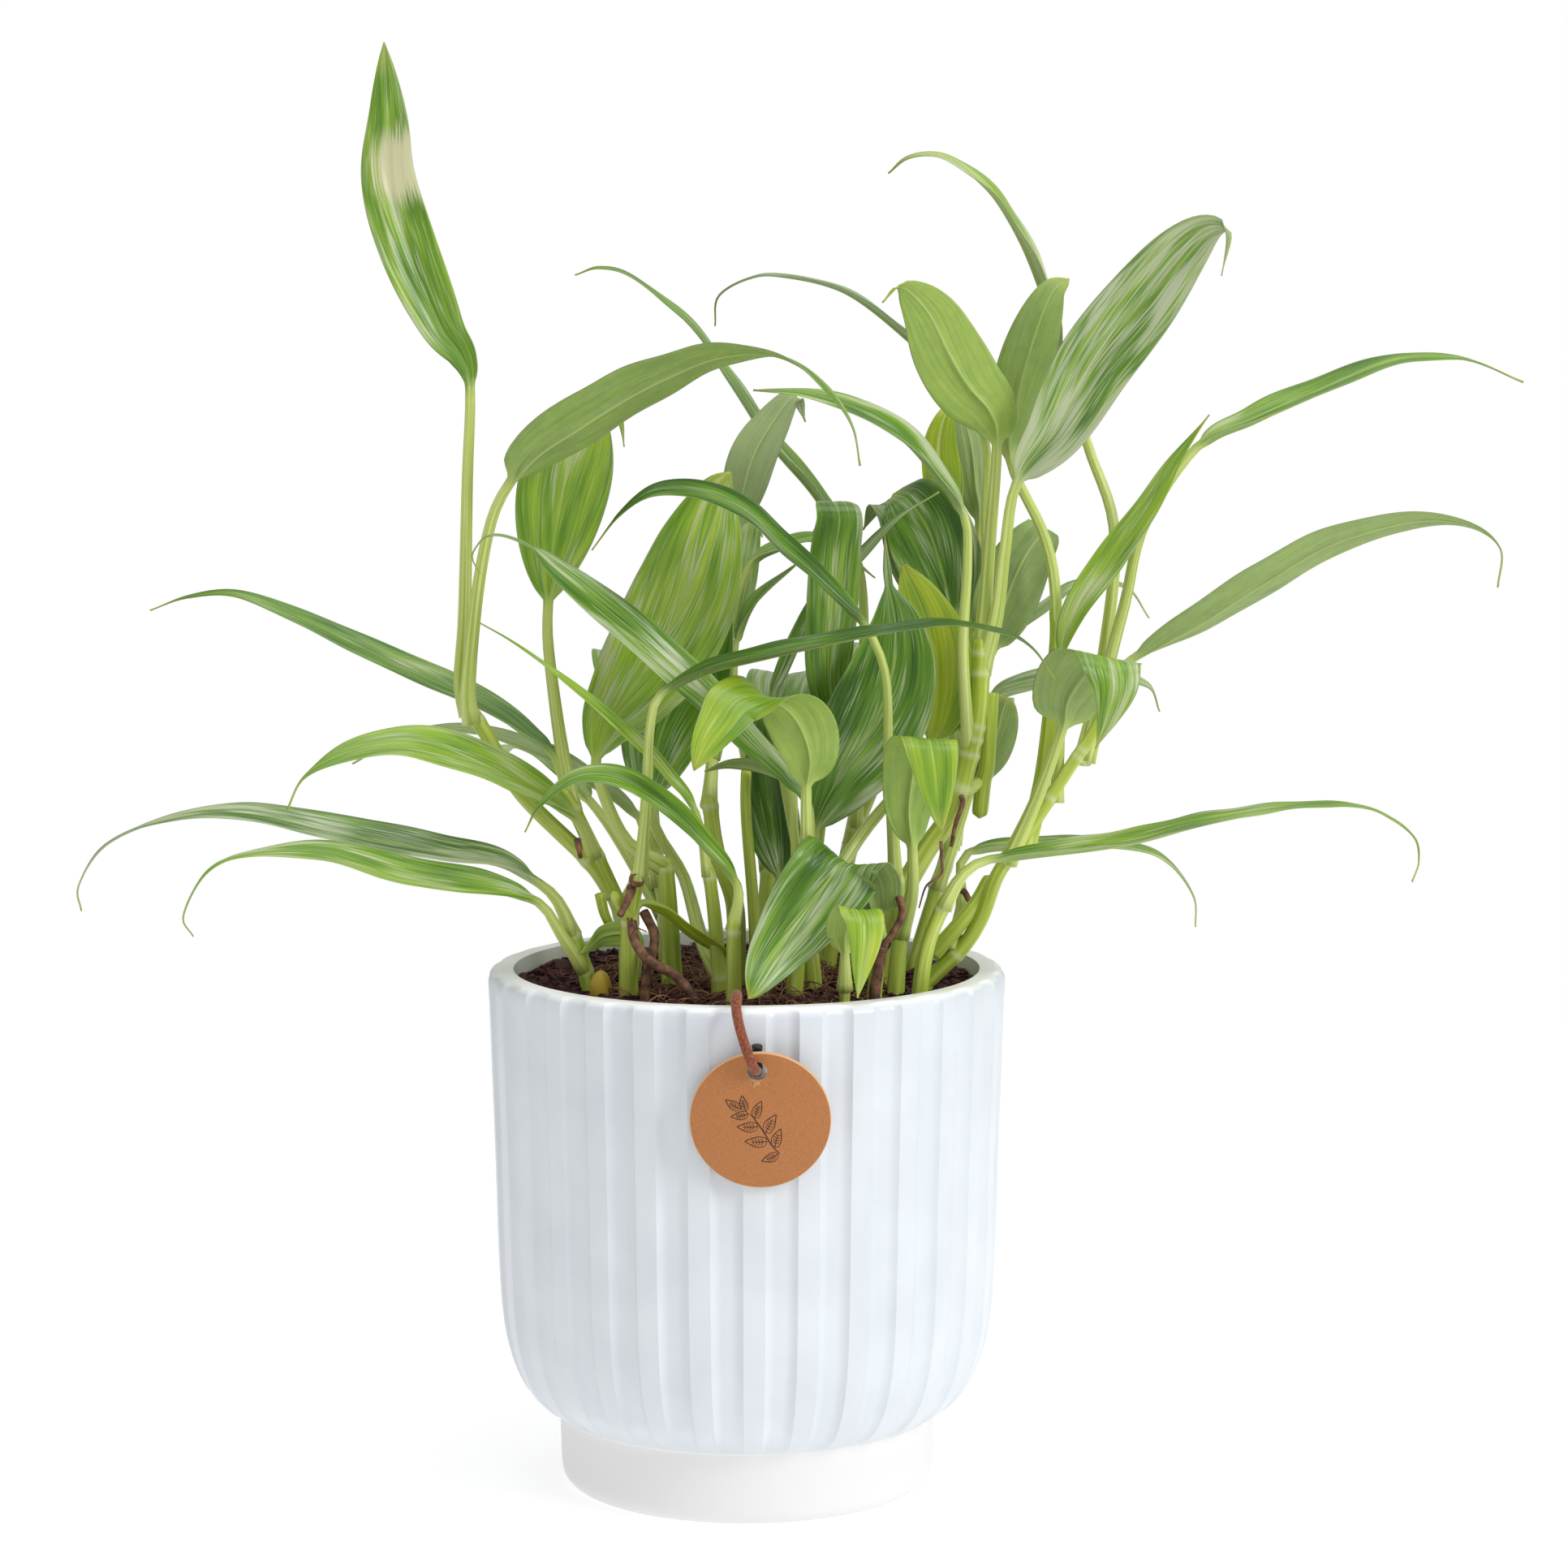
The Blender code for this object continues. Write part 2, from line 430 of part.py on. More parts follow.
def blade_width(t):
    """Share of the leaf's full width at t of its length: lance-shaped, with a drawn-out tip."""
    rise = 0.55
    fall = rise * (1 - BLADE_WIDEST) / BLADE_WIDEST
    most = BLADE_WIDEST ** rise * (1 - BLADE_WIDEST) ** fall
    return t ** rise * (1 - t) ** fall / most


def blade(name, leaf, collection):
    """A folded, arched blade: a grid laid along the rib, split into triangles and thickened."""
    columns = 4 if leaf.width >= BROAD else 2
    ribs = evenly_along(leaf.rib, BLADE_ROWS + 1)
    edge_first = Vector(leaf.edge)
    edge_last = Vector(leaf.edge_tip or leaf.edge)
    working = bmesh.new()
    bmesh.ops.create_grid(working, x_segments=columns, y_segments=BLADE_ROWS, size=0.5)
    for vert in working.verts:
        row = round((vert.co.y + 0.5) * BLADE_ROWS)
        t = row / BLADE_ROWS
        ahead = ribs[min(row + 1, BLADE_ROWS)] - ribs[max(row - 1, 0)]
        ahead.normalize()
        edge = edge_first.lerp(edge_last, t)
        edge = (edge - ahead * edge.dot(ahead)).normalized()
        upper = ahead.cross(edge)
        half = max(leaf.width * blade_width(t), BLADE_END_WIDTH) / 2
        across = -vert.co.x * 2 * half
        lift = BLADE_FOLD * (1 - t) * (across ** 2 / half if columns > 2 else abs(across))
        vert.co = (ribs[row] + edge * across + upper * lift) * MM
    bmesh.ops.triangulate(working, faces=working.faces, quad_method="ALTERNATE")
    bmesh.ops.recalc_face_normals(working, faces=working.faces)
    made = add_object(name, mesh_of(working, name), collection)
    solidify = made.modifiers.new("thickness", "SOLIDIFY")
    solidify.thickness = BLADE_THICKNESS * MM
    solidify.offset = 0.0
    return made


def keep_largest_island(working):
    """Drops loose scraps and fills sealed hollows that a union leaves at sharp folds."""
    unseen = set(working.verts)
    islands = []
    while unseen:
        island = set()
        waiting = [unseen.pop()]
        while waiting:
            vert = waiting.pop()
            island.add(vert)
            for edge in vert.link_edges:
                other = edge.other_vert(vert)
                if other in unseen:
                    unseen.remove(other)
                    waiting.append(other)
        islands.append(island)
    islands.sort(key=len)
    scraps = [vert for island in islands[:-1] for vert in island]
    bmesh.ops.delete(working, geom=scraps, context="VERTS")


def fuse(name, pieces, parts, kind):
    """One solid from overlapping pieces, by a Boolean union on their collection."""
    first, others = pieces[0], pieces[1:]
    merged = new_collection(name + "_pieces")
    for piece in others:
        for owner in list(piece.users_collection):
            owner.objects.unlink(piece)
        merged.objects.link(piece)
        solid = evaluated_mesh(piece)
        piece.modifiers.clear()
        piece.data = solid
    union = first.modifiers.new("union", "BOOLEAN")
    union.operation = "UNION"
    union.operand_type = "COLLECTION"
    union.collection = merged
    union.solver = "EXACT"
    union.use_self = True
    mesh = evaluated_mesh(first)
    for piece in pieces:
        bpy.data.objects.remove(piece, do_unlink=True)
    bpy.data.collections.remove(merged)
    working = bmesh.new()
    working.from_mesh(mesh)
    bmesh.ops.remove_doubles(working, verts=working.verts, dist=2e-6)
    bmesh.ops.dissolve_degenerate(working, dist=1e-6, edges=working.edges)
    bmesh.ops.triangulate(working, faces=working.faces)
    keep_largest_island(working)
    working.to_mesh(mesh)
    working.free()
    return add_object(name, mesh, parts, kind)


def rooted_stem(name, stem, collection):
    """A tapered stem with a straight foot that stands in its hole in the soil."""
    x, y, z = stem.path[0]
    above = [(x, y, z + 1)] + list(stem.path[1:])
    count = max(3, round(path_length(above) / STEP) + 1)
    radii = [stem.radius + (stem.tip_radius - stem.radius) * i / (count - 1) for i in range(count)]
    places = [(x, y, STEM_FOOT)] + evenly_along(above, count)
    return tube(name, places, [stem.radius] + radii, collection)


def stalk_radius(leaf):
    """A narrow leaf has a thinner stalk than a broad one."""
    return STALK_RADIUS * min(1.0, 0.45 + leaf.width / 30)


def shoot(name, stems, leaves, parts):
    """A leafy stem: stems, leaf stalks and blades in one solid."""
    pieces = []
    for i, stem in enumerate(stems):
        if i == 0:
            pieces.append(rooted_stem(f"{name}_stem", stem, parts))
        else:
            pieces.append(tapered_tube(f"{name}_stem_{i}", stem.path, stem.radius, stem.tip_radius, parts))
    for i, leaf in enumerate(leaves):
        rib = [Vector(p) for p in leaf.rib]
        into = rib[0] + (rib[1] - rib[0]).normalized() * STALK_INTO_BLADE
        stalk = [Vector(p) for p in leaf.stalk[:-1]] + [rib[0], into]
        radius = stalk_radius(leaf)
        pieces.append(tapered_tube(f"{name}_stalk_{i}", stalk, radius * STALK_FOOT,
                                   radius * STALK_TOP, parts, resolution=0))
        pieces.append(blade(f"{name}_blade_{i}", leaf, parts))
    return fuse(name, pieces, parts, "shoot")


def turned(name, profile, steps, collection):
    """A profile of (radius, height), outer side first and downwards, turned about Z."""
    working = bmesh.new()
    verts = [working.verts.new((r * MM, 0.0, z * MM)) for r, z in profile]
    for a, b in zip(verts, verts[1:]):
        working.edges.new((a, b))
    made = add_object(name, mesh_of(working, name), collection)
    screw = made.modifiers.new("turned", "SCREW")
    screw.axis = "Z"
    screw.steps = steps
    screw.render_steps = steps
    screw.use_merge_vertices = True
    screw.merge_threshold = 0.00001
    mesh = evaluated_mesh(made)
    made.modifiers.clear()
    made.data = mesh
    return made


def pot_profile():
    """From the rim's outer rounding down the bowl and foot, across the underside, and up inside."""
    outer = RIM_ROUNDING + BOWL[::-1]
    outer += [(FOOT_RADIUS, FOOT_HEIGHT), (FOOT_RADIUS - 0.5, FOOT_ROUNDING)]
    outer += [(FOOT_RADIUS - FOOT_ROUNDING, 0.0)]
    inner = [(0.0, 0.0), (0.0, FLOOR_HEIGHT)] + INNER_WALL + [INNER_EDGE]
    return outer + inner + RIM_ROUNDING[:1]


def wall_radius(z):
    """Radius of the outer wall between flutes at a height."""
    line = [(FOOT_RADIUS, FOOT_HEIGHT)] + BOWL + [RIM_ROUNDING[-1], (RIM_RADIUS, POT_HEIGHT)]
    for (r0, z0), (r1, z1) in zip(line, line[1:]):
        if z0 <= z <= z1:
            return r0 + (r1 - r0) * (z - z0) / (z1 - z0)
    return RIM_RADIUS


def make_pot(parts):
    """The turned wall with concave flutes pressed in: each flute has two edges and two floor lines."""
    blank = turned("pot", pot_profile(), FLUTES * 4, parts)
    working = bmesh.new()
    working.from_mesh(blank.data)
    period = 2 * math.pi / FLUTES
    places = [-FLUTE_SHARE / 2, -FLUTE_SHARE * FLUTE_FLOOR_SHARE / 2, FLUTE_SHARE * FLUTE_FLOOR_SHARE / 2,
              FLUTE_SHARE / 2]
    for vert in working.verts:
        radius = math.hypot(vert.co.x, vert.co.y)
        if radius < MM:
            continue
        step = round(math.atan2(vert.co.y, vert.co.x) / (2 * math.pi) * FLUTES * 4) % (FLUTES * 4)
        flute, line = divmod(step, 4)
        angle = -math.pi / 2 + FLUTE_PHASE + (flute + places[line]) * period
        z = vert.co.z / MM
        outside = z > FOOT_HEIGHT + GAP and radius / MM > wall_radius(z) - WALL_THICKNESS / 2
        if line in (1, 2) and outside:
            radius = min(radius, (wall_radius(z) - FLUTE_DEPTH) * MM)
        vert.co.x = radius * math.cos(angle)
        vert.co.y = radius * math.sin(angle)
    bmesh.ops.remove_doubles(working, verts=working.verts, dist=1e-6)
    bmesh.ops.recalc_face_normals(working, faces=working.faces)
    working.to_mesh(blank.data)
    working.free()
    blank.data.materials.append(material_for("pot"))
    blank.data.shade_smooth()
    blank.data.set_sharp_from_angle(angle=math.radians(25))
    return blank


def make_soil(parts, cutters):
    """Soil that fills the pot to just under its rim, with a plain hole for each stem, root and lace."""
    profile = [(0.0, SOIL_TOP), (RIM_INNER_RADIUS - SOIL_CLEARANCE, SOIL_TOP)]
    profile += [(r - SOIL_CLEARANCE, z + GAP) for r, z in INNER_WALL[::-1]]
    profile += [(0.0, FLOOR_HEIGHT + GAP)]
    soil = turned("soil", profile, FLUTES, parts)
    holes = [(stems[0].path[0], stems[0].radius) for stems, _ in SHOOTS.values()]
    holes += [(path[-1], first) for path, first, _ in AERIAL_ROOTS.values()]
    holes += [(LACE_ROUTE[0], LACE_RADIUS)]
    working = bmesh.new()
    for (x, y, _), filled in holes:
        place = Matrix.Translation(Vector((x, y, SOIL_TOP)) * MM)
        radius = (filled + HOLE_PLAY) * MM
        bmesh.ops.create_cone(working, cap_ends=True, segments=8, radius1=radius, radius2=radius,
                              depth=2 * HOLE_DEPTH * MM, matrix=place)
    cutter = add_object("stem_holes", mesh_of(working, "stem_holes"), cutters)
    cutter.hide_render = True
    cutter.display_type = "WIRE"
    cut = soil.modifiers.new("holes", "BOOLEAN")
    cut.operation = "DIFFERENCE"
    cut.object = cutter
    cut.solver = "EXACT"
    soil.data.materials.append(material_for("soil"))
    return soil


def make_tag(parts, cutters):
    """A leather disc on edge, leaning a little, with a punched hole near its top."""
    lean = Matrix.Rotation(math.pi / 2 + TAG_LEAN, 4, "X")
    place = Matrix.Translation(TAG_CENTRE * MM) @ lean
    working = bmesh.new()
    bmesh.ops.create_cone(working, cap_ends=True, segments=32, radius1=TAG_RADIUS * MM,
                          radius2=TAG_RADIUS * MM, depth=TAG_THICKNESS * MM, matrix=place)
    tag = add_object("tag", mesh_of(working, "tag"), parts, "tag")
    punch = bmesh.new()
    hole = place @ Matrix.Translation(Vector((TAG_HOLE_SIDE, TAG_HOLE_UP, 0)) * MM)
    bmesh.ops.create_cone(punch, cap_ends=True, segments=12, radius1=TAG_HOLE_RADIUS * MM,
                          radius2=TAG_HOLE_RADIUS * MM, depth=4 * TAG_THICKNESS * MM, matrix=hole)
    cutter = add_object("tag_punch", mesh_of(punch, "tag_punch"), cutters)
    cutter.hide_render = True
    cutter.display_type = "WIRE"
    cut = tag.modifiers.new("hole", "BOOLEAN")
    cut.operation = "DIFFERENCE"
    cut.object = cutter
    cut.solver = "EXACT"
    return tag


def make_lace(parts):
    """The lace from the soil over the rim and through the tag's hole, and the knot behind the tag."""
    count = round(path_length(LACE_ROUTE) / (LACE_RADIUS * 3)) + 1
    places = evenly_along(LACE_ROUTE, count)
    lace = tube("lace", places, [LACE_RADIUS] * count, parts, resolution=2)
    lace.data.materials.append(material_for("lace"))
    knot = tube("knot", KNOT_ROUTE, KNOT_RADII, parts, resolution=2)
    knot.data.materials.append(material_for("knot"))
    return lace, knot


def make_root(name, path, first, last, parts):
    count = len(path) + 2
    radii = [first + (last - first) * i / (count - 1) for i in range(count)]
    root = tube(name, evenly_along(path, count), radii, parts)
    root.data.materials.append(material_for("root"))
    return root


clear_scene()
parts = new_collection("potted_pothos")
cutters = new_collection("cutters")
cutters.hide_render = True
make_pot(parts)
make_soil(parts, cutters)
make_tag(parts, cutters)
make_lace(parts)
for node, (stems, leaves) in SHOOTS.items():
    shoot(node, stems, leaves, parts)
for node, (path, first, last) in AERIAL_ROOTS.items():
    make_root(node, path, first, last, parts)
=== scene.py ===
"""A silver-streak pothos in a fluted white cover pot, with a round leather tag.

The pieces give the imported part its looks. Lengths are millimetres unless a name or comment says
otherwise, and MM turns them to metres. The origin is the centre of the foot's underside, +Z is up
and the side with the tag looks along -Y.
"""

import math
import random
from collections import namedtuple

import bmesh
import bpy
from mathutils import Matrix, Vector, noise


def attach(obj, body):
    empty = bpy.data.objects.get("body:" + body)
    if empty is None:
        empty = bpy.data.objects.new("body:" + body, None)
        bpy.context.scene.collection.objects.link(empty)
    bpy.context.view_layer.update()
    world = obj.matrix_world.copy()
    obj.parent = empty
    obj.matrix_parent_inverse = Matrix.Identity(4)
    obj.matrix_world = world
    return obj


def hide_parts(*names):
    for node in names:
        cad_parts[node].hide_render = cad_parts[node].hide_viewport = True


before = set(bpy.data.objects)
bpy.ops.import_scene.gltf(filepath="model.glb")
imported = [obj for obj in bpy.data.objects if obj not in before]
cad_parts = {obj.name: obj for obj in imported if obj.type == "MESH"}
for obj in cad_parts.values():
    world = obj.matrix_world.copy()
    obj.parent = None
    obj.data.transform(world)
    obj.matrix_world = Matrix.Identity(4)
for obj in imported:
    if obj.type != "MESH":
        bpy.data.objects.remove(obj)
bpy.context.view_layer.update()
MM = 0.001

# Camera.
# A studio camera with a long lens stands 1.2 m in front of the pot at the height of the leaves,
# and looks seven degrees down.
SENSOR_WIDTH = 36.0
LENS_LENGTH = 100.855
CAMERA_PLACE_METRES = (0.01014, -1.1778, 0.3322)
CAMERA_DIP_DEGREES = 6.8076
camera_data = bpy.data.cameras.new("camera")
camera_data.sensor_width = SENSOR_WIDTH
camera_data.lens = LENS_LENGTH
camera = bpy.data.objects.new("camera", camera_data)
camera.location = CAMERA_PLACE_METRES
camera.rotation_euler = (math.radians(90 - CAMERA_DIP_DEGREES), 0.0, 0.0)
bpy.context.scene.collection.objects.link(camera)
bpy.context.scene.camera = camera
bpy.context.scene.view_settings.view_transform = "Standard"

# Lace.
# A round cord of brown suede, 2.6 mm thick. Its foot is pushed into the soil behind the rim, and it
# comes over the rim and goes through the tag's hole.
LACE_RADIUS = 1.3
LACE_ROUTE = [
    (-1.9, -61.0, 127.5), (-1.9, -61.0, 131.5), (-1.9, -61.0, 135.5), (-1.9, -61.0, 139.2),
    (-1.9, -61.8, 142.2), (-1.9, -64.0, 144.4), (-2.0, -67.0, 145.2), (-2.1, -69.6, 144.7),
    (-2.1, -71.8, 143.3), (-1.8, -74.4, 141.1), (-1.1, -77.2, 138.5), (-0.3, -78.8, 135.9),
    (0.7, -79.3, 132.9), (1.8, -78.8, 129.9), (2.7, -76.7, 127.6), (3.2, -73.7, 126.7),
]
LACE_STEPS = 90
LACE_SIDES = 20
LACE_GRAIN_MM = 0.6
FINE_STEPS = 200


def hex_colour(code):
    """An sRGB hex colour as linear RGBA."""
    shares = [int(code[i:i + 2], 16) / 255 for i in (1, 3, 5)]
    return (*(s / 12.92 if s <= 0.04045 else ((s + 0.055) / 1.055) ** 2.4 for s in shares), 1.0)


def add_node(tree, kind, inputs=(), stops=(), **settings):
    """Adds a shader node: its settings, its colour stops, and a value or a socket for each input."""
    made = tree.nodes.new("ShaderNode" + kind)
    for name, value in settings.items():
        setattr(made, name, value)
    for place, (share, code) in enumerate(stops):
        elements = made.color_ramp.elements
        stop = elements[place] if place < 2 else elements.new(share)
        stop.position = share
        stop.color = hex_colour(code)
    for socket, value in dict(inputs).items():
        if isinstance(value, bpy.types.NodeSocket):
            tree.links.new(value, made.inputs[socket])
        else:
            made.inputs[socket].default_value = value
    return made


def new_material(name, roughness, **sockets):
    """A material with one Principled shader, and values for its sockets."""
    made = bpy.data.materials.new(name)
    made.use_nodes = True
    shader = made.node_tree.nodes["Principled BSDF"]
    shader.inputs["Roughness"].default_value = roughness
    for socket, value in sockets.items():
        shader.inputs[socket.replace("_", " ")].default_value = value
    return made, made.node_tree, shader


def curve_point(points, t):
    """A smooth curve through the points; t runs from 0 to their count less one."""
    last = len(points) - 1
    i = min(int(t), last - 1)
    f = t - i
    p1, p2 = points[i], points[i + 1]
    p0 = points[i - 1] if i else p1 * 2 - p2
    p3 = points[i + 2] if i + 2 <= last else p2 * 2 - p1
    return 0.5 * (
        2 * p1 + (p2 - p0) * f + (2 * p0 - 5 * p1 + 4 * p2 - p3) * f ** 2
        + (3 * p1 - p0 - 3 * p2 + p3) * f ** 3
    )


def smooth_line(points, count, first=0, last=None):
    """Points at equal steps of length along the curve, from its point number first to number last."""
    points = [Vector(p) for p in points]
    last = len(points) - 1 if last is None else last
    fine = [curve_point(points, first + (last - first) * i / FINE_STEPS) for i in range(FINE_STEPS + 1)]
    lengths = [0.0]
    for a, b in zip(fine, fine[1:]):
        lengths.append(lengths[-1] + (b - a).length)
    found = []
    j = 0
    for i in range(count):
        wanted = lengths[-1] * i / (count - 1)
        while j < FINE_STEPS - 1 and lengths[j + 1] < wanted:
            j += 1
        share = (wanted - lengths[j]) / (lengths[j + 1] - lengths[j])
        found.append(fine[j].lerp(fine[j + 1], min(max(share, 0.0), 1.0)))
    return found


def line_length(line):
    return sum((b - a).length for a, b in zip(line, line[1:]))


def carried_frames(line, up):
    """Ahead, side and up at each point of a line, turning about it as little as it can."""
    frames = []
    for i in range(len(line)):
        ahead = (line[min(i + 1, len(line) - 1)] - line[max(i - 1, 0)]).normalized()
        up = (up - ahead * up.dot(ahead)).normalized()
        frames.append((ahead, up.cross(ahead), up))
    return frames


def add_skin(working, rows, sides, place):
    """Wraps a grid into a closed tube: place(row, angle) gives each point, and both ends are filled."""
    made = bmesh.ops.create_grid(working, x_segments=sides, y_segments=rows, size=0.5)["verts"]
    for vert in made:
        row = round((vert.co.y + 0.5) * rows)
        turn = round((vert.co.x + 0.5) * sides) % sides
        vert.co = place(vert, row, 2 * math.pi * turn / sides) * MM
    bmesh.ops.remove_doubles(working, verts=made, dist=1e-7)
    rims = {edge for vert in made if vert.is_valid for edge in vert.link_edges if edge.is_boundary}
    bmesh.ops.holes_fill(working, edges=list(rims), sides=0)


def add_rod(working, line, radius_at, sides, up=(0.0, -1.0, 0.0)):
    """A round rod along the line; radius_at(share of its length, angle) gives its radius."""
    frames = carried_frames(line, Vector(up))
    rows = len(line) - 1

    def place(vert, row, angle):
        ahead, side, upward = frames[row]
        outward = side * math.cos(angle) + upward * math.sin(angle)
        return line[row] + outward * radius_at(row / rows, angle)

    add_skin(working, rows, sides, place)


def finish_piece(name, working, materials, replaced=()):
    """Makes the object of a mesh, smooth shaded, on the part's only body."""
    mesh = bpy.data.meshes.new(name)
    working.to_mesh(mesh)
    working.free()
    for made in materials:
        mesh.materials.append(made)
    mesh.shade_smooth()
    piece = bpy.data.objects.new(name, mesh)
    bpy.context.scene.collection.objects.link(piece)
    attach(piece, "root")
    if replaced:
        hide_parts(*replaced)
    return piece


def noise_at(tree, vector, detail, roughness=0.5, scale=1.0):
    return add_node(tree, "TexNoise", {"Vector": vector, "Scale": scale, "Detail": detail,
                                       "Roughness": roughness}).outputs[0]


def object_noise(tree, size_mm, detail, roughness=0.5):
    """Noise with lumps of one size all through the piece."""
    coords = add_node(tree, "TexCoord").outputs["Object"]
    return noise_at(tree, coords, detail, roughness, 1 / (size_mm * MM))


def colour_ramp(tree, level, *stops):
    return add_node(tree, "ValToRGB", {0: level}, stops=stops).outputs[0]


def link_surface(tree, shader, colour, height=None, strength=0.0, depth_mm=0.0):
    """Links a colour to the shader, and a height as fine relief."""
    tree.links.new(colour, shader.inputs["Base Color"])
    if height is not None:
        relief = add_node(tree, "Bump", {"Height": height, "Strength": strength,
                                         "Distance": depth_mm * MM})
        tree.links.new(relief.outputs[0], shader.inputs["Normal"])


# Suede: the flesh side of leather, brushed, so it scatters light and shows a darker speckle.
suede, tree, shader = new_material("brown_suede", 0.88, Sheen_Weight=0.25, Sheen_Roughness=0.4)
nap = object_noise(tree, LACE_GRAIN_MM, 3.0, 0.65)
nap_colour = colour_ramp(tree, nap, (0.32, "#5A2E1F"), (0.68, "#A55C3A"), (0.52, "#87482F"))
link_surface(tree, shader, nap_colour, nap, 0.6, 0.15)

working = bmesh.new()
lace_line = smooth_line(LACE_ROUTE, LACE_STEPS + 1)
add_rod(working, lace_line, lambda share, angle: LACE_RADIUS, LACE_SIDES)
lace = finish_piece("lace_cord", working, [suede], ["lace"])

# Knot.
# The lace's thin black end is tied in a small knot behind the tag, so it can't slip out of the hole.
KNOT_ROUTE = [(3.3, -71.45, 125.0), (3.3, -71.45, 126.6), (3.3, -71.45, 128.4), (3.3, -71.9, 130.6),
              (3.3, -72.3, 133.0)]
KNOT_RADII = [1.0, 1.5, 1.4, 1.3, 1.5]
KNOT_TURNS = 5
KNOT_STEPS = 40

# Waxed cord: nearly black, with a slight shine where the thread is pulled tight.
waxed_cord = new_material("black_waxed_cord", 0.55, Base_Color=hex_colour("#1E1A18"))[0]


def knot_radius(share, angle):
    """The thread's turns show as ridges that climb round the knot."""
    place = share * (len(KNOT_RADII) - 1)
    i = min(int(place), len(KNOT_RADII) - 2)
    plain = KNOT_RADII[i] + (KNOT_RADII[i + 1] - KNOT_RADII[i]) * (place - i)
    return plain * (0.95 + 0.05 * math.cos(KNOT_TURNS * 2 * math.pi * share + angle))


working = bmesh.new()
add_rod(working, smooth_line(KNOT_ROUTE, KNOT_STEPS + 1), knot_radius, LACE_SIDES)
knot = finish_piece("cord_knot", working, [waxed_cord], ["knot"])

# Pot.
# A cover pot of white earthenware, cast in a mould with thirty concave flutes down its bowl. The
# bowl and rim are dipped in a satin glaze, and the turned foot is left matte.
FLOOR_HEIGHT = 7.0
FLUTES = 30
FLUTE_DEPTH = 1.25
FLUTE_SHARE = 0.6
FLUTE_PHASE = math.radians(-3.9)
STEPS_IN_FLUTE = 12
STEPS_ON_RIDGE = 5
FLUTE_TOP = 141.9
FLUTE_END_HEIGHT = 1.2
FLUTE_FOOT = 20.3
FLUTE_FOOT_FADE = 4.0
# Below the first height a flute is shallower, and below the second its low end is drawn up.
SHALLOW_BELOW, SHALLOW_SHARE = 30.0, 0.75
LIFTED_BELOW, LIFTED_OVER, LIFT_SHARE = 34.0, 14.0, 0.5
# A slanted line parts the outer wall from the inner one, and above the bowl's belly a plain radius.
PARTING_RADIUS, PARTING_SLOPE = 51.0, 0.11
BELLY_HEIGHT, UPPER_PARTING_RADIUS = 60.0, 66.0
# Each line is (radius, height), from the rim's crown down to the foot, under it, and up the inside.
RIM_LINE = [(66.4, 142.0), (68.0, 141.75), (69.2, 141.0), (69.85, 139.9), (70.0, 138.6)]
BOWL_LINE = [(70.0, 138.6), (69.3, 115.0), (68.5, 90.0), (67.8, 63.0), (66.6, 46.0), (64.3, 35.5),
             (60.9, 28.0), (56.8, 23.4), (52.4, 20.6)]
FOOT_LINE = [(52.4, 20.6), (51.35, 19.6), (51.2, 18.4), (51.0, 11.0), (50.75, 5.2), (50.1, 2.6),
             (48.6, 0.9), (46.6, 0.1), (44.0, 0.0)]
INNER_LINE = [(44.0, 7.0), (46.4, 8.0), (48.6, 14.0), (50.4, 20.0), (55.2, 31.0), (59.4, 44.0),
              (62.4, 90.0), (63.0, 120.0),
              (63.0, 140.4), (63.35, 141.4), (64.3, 141.9), (66.4, 142.0)]


def radial_line(line, count):
    return [(p.x, p.z) for p in smooth_line([(r, 0.0, z) for r, z in line], count)]


def pot_outline():
    """The whole turned outline as (radius, height), with close rows where the flutes end."""
    outline = radial_line(RIM_LINE, 15) + radial_line(BOWL_LINE, 72)[1:]
    outline += radial_line(FOOT_LINE, 20)[1:] + [(30.0, 0.0), (0.0, 0.0), (0.0, FLOOR_HEIGHT)]
    outline += [(30.0, FLOOR_HEIGHT)] + radial_line(INNER_LINE, 40)
    return outline


def flute_depth(height, share):
    """Depth at a share of the flute's pitch: a round hollow that ends in an arch under the rim."""
    across = abs(share) / (FLUTE_SHARE / 2)
    climb = max(0.0, (height - FLUTE_TOP + FLUTE_END_HEIGHT) / FLUTE_END_HEIGHT)
    inside = (1.0 - across ** 2) * (1.0 - climb ** 2) if climb < 1.0 else 0.0
    if inside <= 0.0:
        return 0.0
    foot_fade = min(1.0, max(0.0, (height - FLUTE_FOOT) / FLUTE_FOOT_FADE))
    return FLUTE_DEPTH * min(1.0, 1.25 * inside ** 0.8) * (0.55 + 0.45 * foot_fade)


def flute_share(step):
    """Share of a flute's pitch at a step. A dozen steps fall in the flute, the rest on the ridge."""
    if step <= STEPS_IN_FLUTE:
        return FLUTE_SHARE * (step / STEPS_IN_FLUTE - 0.5)
    return FLUTE_SHARE / 2 + (1 - FLUTE_SHARE) * (step - STEPS_IN_FLUTE) / STEPS_ON_RIDGE


